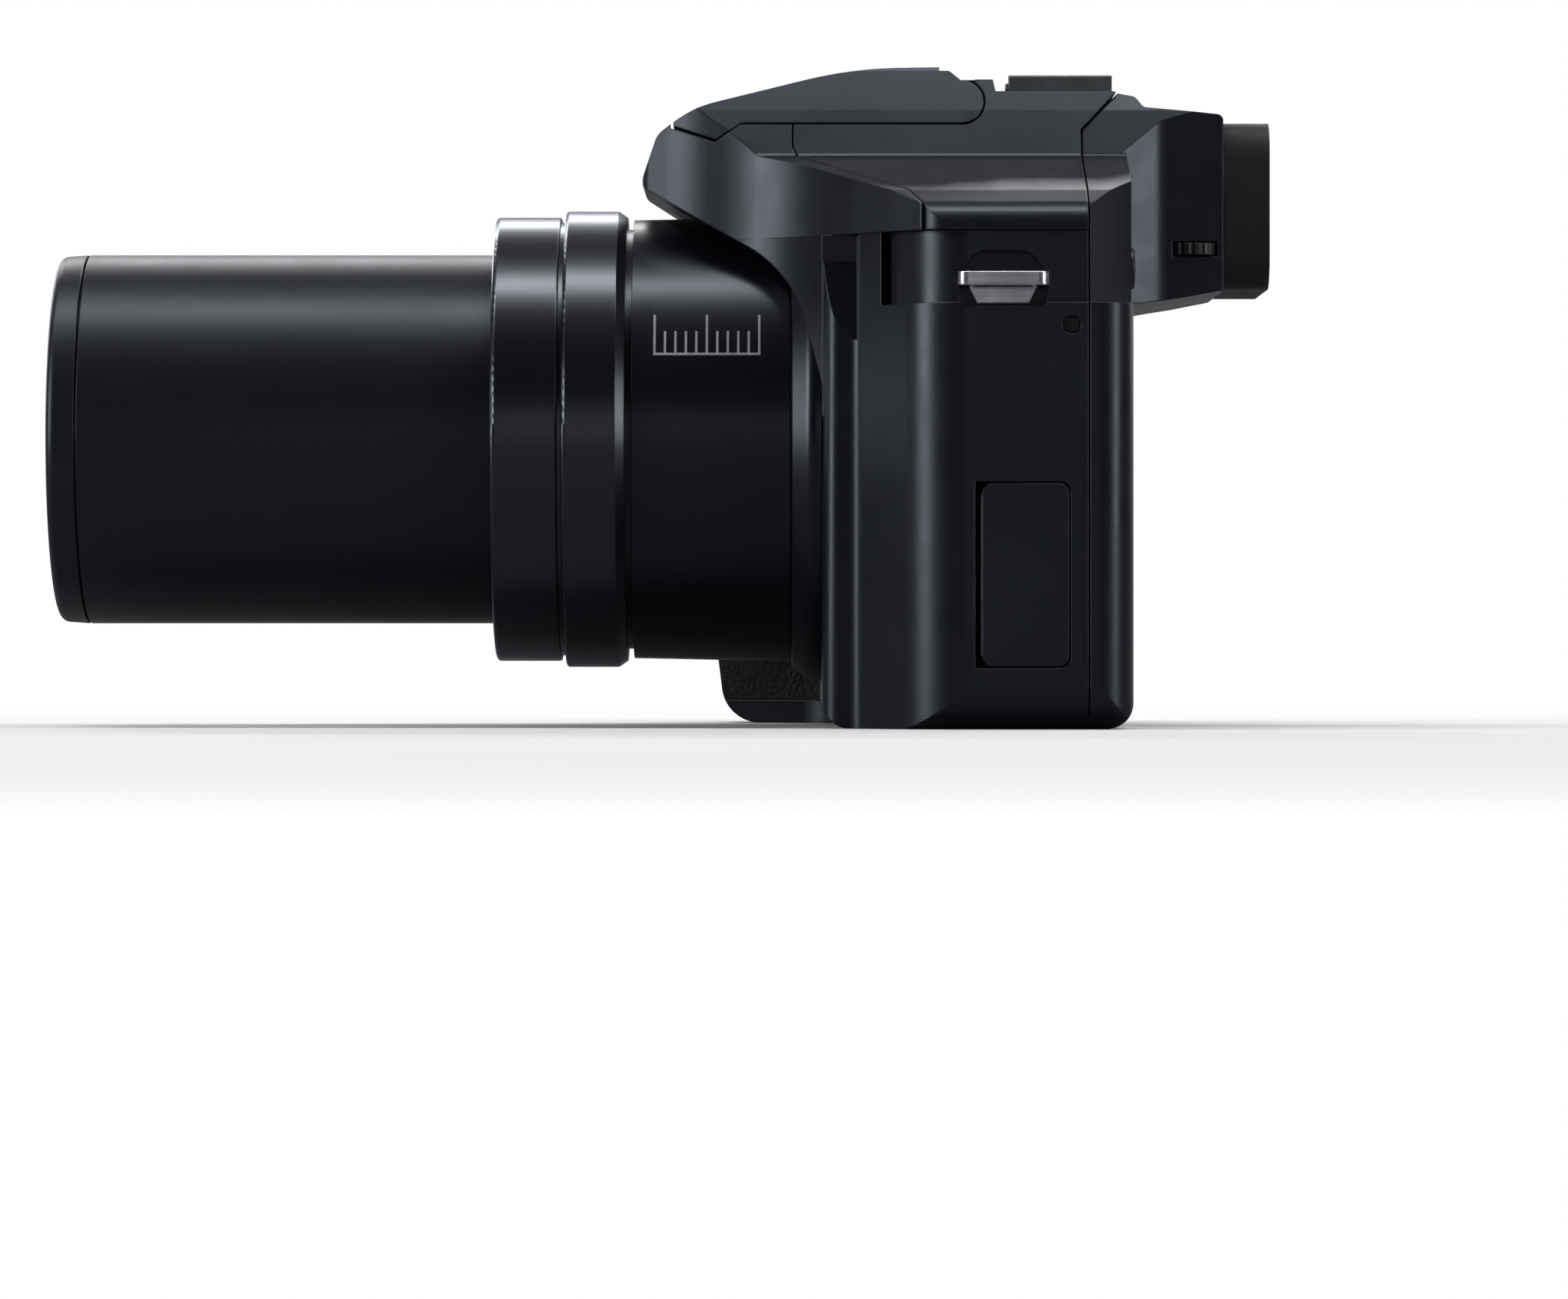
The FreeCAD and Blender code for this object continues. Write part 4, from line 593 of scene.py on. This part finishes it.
def layer(name, shapes, place, facing, body, material, thick=0.10, sink=0.06):
    """Flat outlines in mm, drawn as seen from outside, laid on a place in mm and carried by a body."""
    points, faces = [], []
    for shape in shapes:
        first, count = len(points), len(shape)
        for height in (-sink, thick - sink):
            points += [(facing @ Vector((x, y, height)) + Vector(place)) * MM for x, y in shape]
        faces.append(tuple(range(first, first + count)))
        faces.append(tuple(range(first + count, first + 2 * count)))
        for corner in range(count):
            nearby = (corner + 1) % count
            faces.append((first + corner, first + nearby, first + count + nearby, first + count + corner))
    return mesh_piece(name, points, faces, body, material)


def bar(x, y, wide, high):
    """An upright rectangle about its middle."""
    left, right, low, top = x - wide / 2, x + wide / 2, y - high / 2, y + high / 2
    return [(left, low), (right, low), (right, top), (left, top)]


def spot(x, y, radius, sides=24):
    """A round dot."""
    angles = [2 * math.pi * side / sides for side in range(sides)]
    return [(x + radius * math.cos(angle), y + radius * math.sin(angle)) for angle in angles]


def frame_of(x, y, wide, high, line):
    """The outline of a rectangle as four bars."""
    return [
        bar(x, y + (high - line) / 2, wide, line),
        bar(x, y - (high - line) / 2, wide, line),
        bar(x - (wide - line) / 2, y, line, high - 2 * line),
        bar(x + (wide - line) / 2, y, line, high - 2 * line),
    ]


def turned(shapes, degrees, distance):
    """Shapes set out at a distance from a centre and turned round it."""
    spin = Matrix.Rotation(math.radians(degrees), 2)
    return [[tuple(spin @ Vector((x, y + distance))) for x, y in shape] for shape in shapes]


red_paint, tree, shader = new_material("red_paint", (0.45, 0.02, 0.02), 0.4)
texture = effect(tree, "spark_texture", Grain=6000.0, Patch=900.0)
feed(shader, "Base Color", blend(tree, texture["Patches"], (0.40, 0.015, 0.015), (0.52, 0.03, 0.025)))

play = [[(-0.7, -0.9), (1.0, 0.0), (-0.7, 0.9)]]
stack = frame_of(0.25, -0.2, 1.9, 1.3, 0.22) + [bar(-0.2, 0.75, 1.9, 0.22), bar(-1.05, 0.2, 0.22, 1.2)]
bolt = [[(0.1, 1.3), (-0.8, -0.1), (-0.1, -0.1), (-0.3, -1.3), (0.7, 0.3), (0.0, 0.3), (0.5, 1.3)]]
rows = [bar(0, offset, 2.2, 0.26) for offset in (-0.65, 0.0, 0.65)]
screen = frame_of(0, 0, 2.2, 1.5, 0.22) + [bar(0, -1.05, 1.0, 0.2)]
eyepiece = frame_of(-0.2, 0, 1.5, 1.3, 0.22) + [bar(0.95, 0, 0.4, 0.8)]
lock = frame_of(0, -0.35, 1.5, 1.1, 0.22)
lock += [bar(-0.5, 0.55, 0.22, 0.7), bar(0.5, 0.55, 0.22, 0.7), bar(0, 0.95, 1.2, 0.22)]
DECK = 79.0
BACK = 25.9
deck_signs = {
    "movie_button": ((-55.5, -7.5), 1.05, [spot(0, 0, 1.35)], red_paint),
    "burst_button": ((-66.0, -4.0), 0.85, stack, print_white),
    "flash_button": ((-33.5, -4.5), 0.75, bolt, print_white),
}
for name, ((across, along), proud, shapes, paint) in deck_signs.items():
    top = (across, along, DECK + proud)
    layer(name + "_sign", shapes, top, UPWARD, name + "_body", paint)
back_signs = {
    "viewfinder_button": ((33.0, 66.5), eyepiece),
    "lock_button": ((-31.5, 67.0), lock),
    "playback_button": ((-29.0, 52.0), play),
    "display_button": ((-29.0, 10.5), screen),
    "menu_button": ((-42.0, 8.6), rows),
}
for name, ((across, up), shapes) in back_signs.items():
    top = (across, BACK + 0.95, up)
    layer(name + "_sign", shapes, top, REARWARD, name + "_body", print_white)
arrow = [[(-0.75, -0.45), (0.75, -0.45), (0.0, 0.65)]]
arrows = [shape for quarter in range(4) for shape in turned(arrow, 90 * quarter, 7.5)]
pad_across, pad_up = -41.5, 28.0
layer("pad_arrows", arrows, (pad_across, BACK + 1.27, pad_up), REARWARD, "four_way", print_white)
layer("set_sign", [spot(0, 0, 0.5)], (pad_across, BACK + 1.08, pad_up), REARWARD, "set_button_body",
      print_white)

# The signs on the deck: small pictures round the mode dial, one of them at the index line beside it, a dot
# and a stroke at the power switch, and strokes on the zoom lever; on the base, the battery door's arrow.
camera_sign = frame_of(0, 0, 2.4, 1.6, 0.22) + [spot(0, 0, 0.45), bar(0, 1.0, 0.9, 0.3)]
hill_sign = [[(-1.3, -0.8), (0.1, 1.0), (0.6, 0.2), (0.9, 0.5), (1.4, -0.8)]]
signs = [camera_sign, hill_sign, [spot(0, 0, 0.8)], rows, frame_of(0, 0, 1.8, 1.8, 0.3), play, bolt, stack]
marks_round = [shape for place, sign in enumerate(signs) for shape in turned(sign, 90 + 45 * place, 7.2)]
dial_along = 8.0
layer("mode_dial_signs", marks_round, (-40.0, dial_along, DECK + 6.2), UPWARD, "mode", print_white)
layer("dial_index", [bar(0, 0, 1.5, 0.4)], (-52.1, dial_along, DECK), UPWARD, "casing", print_white)
off_and_on = [spot(-4.9, 0, 0.5), bar(4.3, 0, 0.35, 1.4)]
layer("switch_signs", off_and_on, (-60.0, 14.4, DECK), UPWARD, "casing", print_white)
tilted = Matrix.Rotation(math.radians(16.7), 3, "X")
lever_place = Vector((-60.5, -24.5, 76.2)) + tilted @ Vector((0, 0, 2.6))
lever_signs = turned([bar(0, 0, 0.3, 1.0), bar(0.55, 0, 0.3, 1.0), bar(-0.55, 0, 0.3, 1.0)], 140, 7.6)
lever_signs += turned([bar(0, 0, 0.3, 1.0)], 220, 7.6)
layer("lever_signs", lever_signs, lever_place, tilted, "lever", print_white)
layer("door_arrow", turned([[(-1.6, -1.1), (1.6, -1.1), (0.0, 1.5)]], 90, 0), (-58.0, -3.0, 0.0), DOWNWARD,
      "battery_door_body", print_white)

# The recesses of the case screws: a flat cross of painted shade on each blackened steel head stands in for
# the recess, four heads in the base and a smaller one in the left side.

cross = [bar(0, 0, 1.9, 0.5), bar(0, 0.6, 0.5, 0.7), bar(0, -0.6, 0.5, 0.7)]
small_cross = [bar(0, 0, 1.3, 0.34), bar(0, 0.4, 0.34, 0.46), bar(0, -0.4, 0.34, 0.46)]
heads = [
    (f"screw_cross_{number + 1}", cross, (across, along, 0.4), DOWNWARD)
    for number, (across, along) in enumerate(((44, 14), (44, -6), (-33, 16), (14, 18)))
]
heads.append(("screw_cross_side", small_cross, (52.6, 16.9, 57.6), SIDEWARD))
for name, shapes, place, facing in heads:
    layer(name, shapes, place, facing, "casing", matt_black_and_shade, 0.04, 0.02)

# The tripod insert's thread: coarse ridges cut in the brass bush, 1.27 mm apart. The profile is (up the
# bore, radius) in mm, turned about the bush's own axis.

coarse_pitch, valley, peak = 1.27, 3.15, 2.75
ridge = [(0.3, 3.17)]
for count in range(4):
    up = coarse_pitch * count
    ridge += [(0.5 + up, valley), (0.9 + up, peak), (1.1 + up, peak), (1.5 + up, valley)]
ridge += [(5.5, 3.17)]
upturned = Matrix(((1, 0, 0), (0, -1, 0), (0, 0, -1)))
lathe("tripod_thread", ridge, "casing", bush_brass, (0, 0, 0), upturned, 48, 20)

# Inside the casing: the image sensor behind the lens, the green main board with its black chips and their
# tinned legs, and the battery and the flash capacitor in their dark plastic sleeves.

board_green, tree, shader = new_material("board_green", (0.012, 0.085, 0.040), 0.35, {"Coat Weight": 0.3})
where = put(tree, "ShaderNodeTexCoord").outputs["Object"]
tracks = put(tree, "ShaderNodeTexBrick", Scale=260.0, Mortar_Size=0.06)
tree.links.new(where, tracks.inputs["Vector"])
feed(shader, "Base Color", blend(tree, tracks.outputs["Fac"], (0.010, 0.075, 0.035), (0.030, 0.150, 0.070)))
feed(shader, "Roughness", spread(tree, tracks.outputs["Fac"], 0.30, 0.42))
finish(board_green, "main_board")
BOARD = 16.4
chips = (
    (-20, 40, 14, 14, 1.4), (6, 44, 12, 9, 1.2), (24, 30, 10, 10, 1.3),
    (2, 22, 8, 6, 1.0), (-24, 20, 9, 5, 1.1), (30, 52, 6, 9, 1.6),
)
for number, (across, up, wide, high, thick) in enumerate(chips):
    layer(f"chip_{number + 1}", [bar(0, 0, wide, high)], (across, BOARD, up), REARWARD, "casing",
          matt_black_and_shade, thick, 0.0)
legs_a_side = 7
legs = []
for across, up, wide, high, _ in chips:
    for side in (-1, 1):
        for leg in range(legs_a_side):
            level = up - high / 2 + (leg + 0.5) * high / legs_a_side
            legs.append(bar(-across + side * (wide / 2 + 0.5), level, 1.0, high / (2 * legs_a_side)))
layer("chip_legs", legs, (0, BOARD, 0), REARWARD, "casing", pin_steel, 0.2, 0.0)
battery_case = moulded_plastic(
    "battery_case", (0.022, 0.023, 0.026), (0.06, 0.06, 0.065), (0.40, 0.50), 0.3, 0.004,
)
finish(battery_case, "battery", "flash_capacitor")
sensor_face, tree, shader = new_material("sensor_face", (0.05, 0.07, 0.10), 0.08, {"Metallic": 0.9})
texture = effect(tree, "spark_texture", Grain=20000.0, Patch=300.0)
feed(shader, "Base Color", blend(tree, texture["Patches"], (0.05, 0.07, 0.11), (0.09, 0.08, 0.10)))
finish(sensor_face, "image_sensor")

# The studio: a pale floor that fades into plain white and throws little light back, a dim room, long lamps
# overhead and behind, tall ones beside the lens and the back, a weak one by the camera, and fills for the
# far side. The camera looks straight at the left side from 1.15 m.

floor_paint, tree, shader = new_material(
    "floor_paint", (0.92, 0.92, 0.92), 0.9, {"Specular IOR Level": 0.0, "Emission Strength": 1.0},
)
texture = effect(tree, "spark_texture", Grain=900.0, Patch=2.0)
paper_white = blend(tree, texture["Patches"], (0.90, 0.90, 0.90), (0.94, 0.94, 0.94))
distance = put(tree, "ShaderNodeVectorMath", {"operation": "LENGTH"})
tree.links.new(put(tree, "ShaderNodeTexCoord").outputs["Object"], distance.inputs[0])
fade_start, fade_end = 0.22, 0.62
far = spread(tree, distance.outputs["Value"], 0.0, 1.0, fade_start, fade_end)
seen = put(tree, "ShaderNodeLightPath").outputs["Is Camera Ray"]
far_seen = arithmetic(tree, "MULTIPLY", far, seen)
dimmed = blend(tree, seen, (0.22, 0.22, 0.23), paper_white)
feed(shader, "Base Color", blend(tree, far_seen, dimmed, (0.0, 0.0, 0.0)))
feed(shader, "Emission Color", blend(tree, far_seen, (0.0, 0.0, 0.0), (1.0, 1.0, 1.0)))
reach = 4
paper = bpy.data.meshes.new("floor")
paper.from_pydata([(*corner, 0) for corner in bar(0, 0, 2 * reach, 2 * reach)], [], [(0, 1, 2, 3)])
paper.materials.append(floor_paint)
floor = bpy.data.objects.new("floor", paper)
bpy.context.collection.objects.link(floor)

room = bpy.data.worlds.new("room")
bpy.context.scene.world = room
room.use_nodes = True
tree = room.node_tree
sky = tree.nodes["Background"]
rays = put(tree, "ShaderNodeLightPath")
where = put(tree, "ShaderNodeTexCoord").outputs["Generated"]
apart = put(tree, "ShaderNodeSeparateXYZ")
tree.links.new(where, apart.inputs[0])
behind = spread(tree, apart.outputs["X"], 0.16, 0.02, -0.9, 0.2)
plain = blend(tree, behind, (0.0, 0.0, 0.0), (1.0, 1.0, 1.06))
seen = arithmetic(tree, "MAXIMUM", rays.outputs["Is Camera Ray"], rays.outputs["Is Transmission Ray"])
tree.links.new(blend(tree, seen, plain, (1.0, 1.0, 1.0)), sky.inputs["Color"])


def lamp(name, place, aim, size, power):
    """A soft lamp of a given size in metres, turned towards a point."""
    light = bpy.data.lights.new(name, "AREA")
    light.shape = "RECTANGLE"
    light.size, light.size_y = size
    light.energy = power
    holder = bpy.data.objects.new(name, light)
    holder.location = place
    holder.rotation_euler = (Vector(aim) - Vector(place)).to_track_quat("-Z", "Y").to_euler()
    bpy.context.collection.objects.link(holder)


lamp("overhead_lamp", (0.08, -0.06, 0.78), (0.0, -0.05, 0.05), (1.2, 0.13), 4.2)
lamp("shoulder_lamp", (-0.90, -0.02, 0.66), (0.04, 0.0, 0.08), (1.0, 0.16), 3.6)
lamp("lens_side_lamp", (0.42, -1.10, 0.32), (0.03, 0.0, 0.04), (0.35, 0.6), 5.2)
lamp("back_side_lamp", (0.60, 0.95, 0.30), (0.03, 0.02, 0.04), (0.3, 0.5), 3.6)
lamp("camera_lamp", (1.3, -0.05, 0.10), (0.0, -0.03, 0.045), (0.2, 0.5), 0.24)
lamp("grip_side_lamp", (-0.5, 0.5, 0.9), (0.0, 0.0, 0.05), (0.6, 0.6), 1.0)
lamp("rear_fill_lamp", (-1.10, 0.78, 0.42), (0.0, 0.0, 0.05), (0.6, 0.5), 4.5)
lamp("grip_fill_lamp", (-1.05, -0.70, 0.36), (-0.03, 0.0, 0.04), (0.6, 0.5), 3.5)

film_width, view_angle = 36.0, math.radians(11.6)
lens = bpy.data.cameras.new("camera")
lens.sensor_width = film_width
lens.lens = film_width / 2 / math.tan(view_angle / 2)
lens.clip_start = 0.05
lens.clip_end = 20.0
camera = bpy.data.objects.new("camera", lens)
camera.location = (1.150, -0.024, 0.0114)
camera.rotation_euler = (math.radians(90), 0, math.radians(90))
bpy.context.collection.objects.link(camera)
bpy.context.scene.camera = camera
bpy.context.scene.view_settings.view_transform = "Standard"
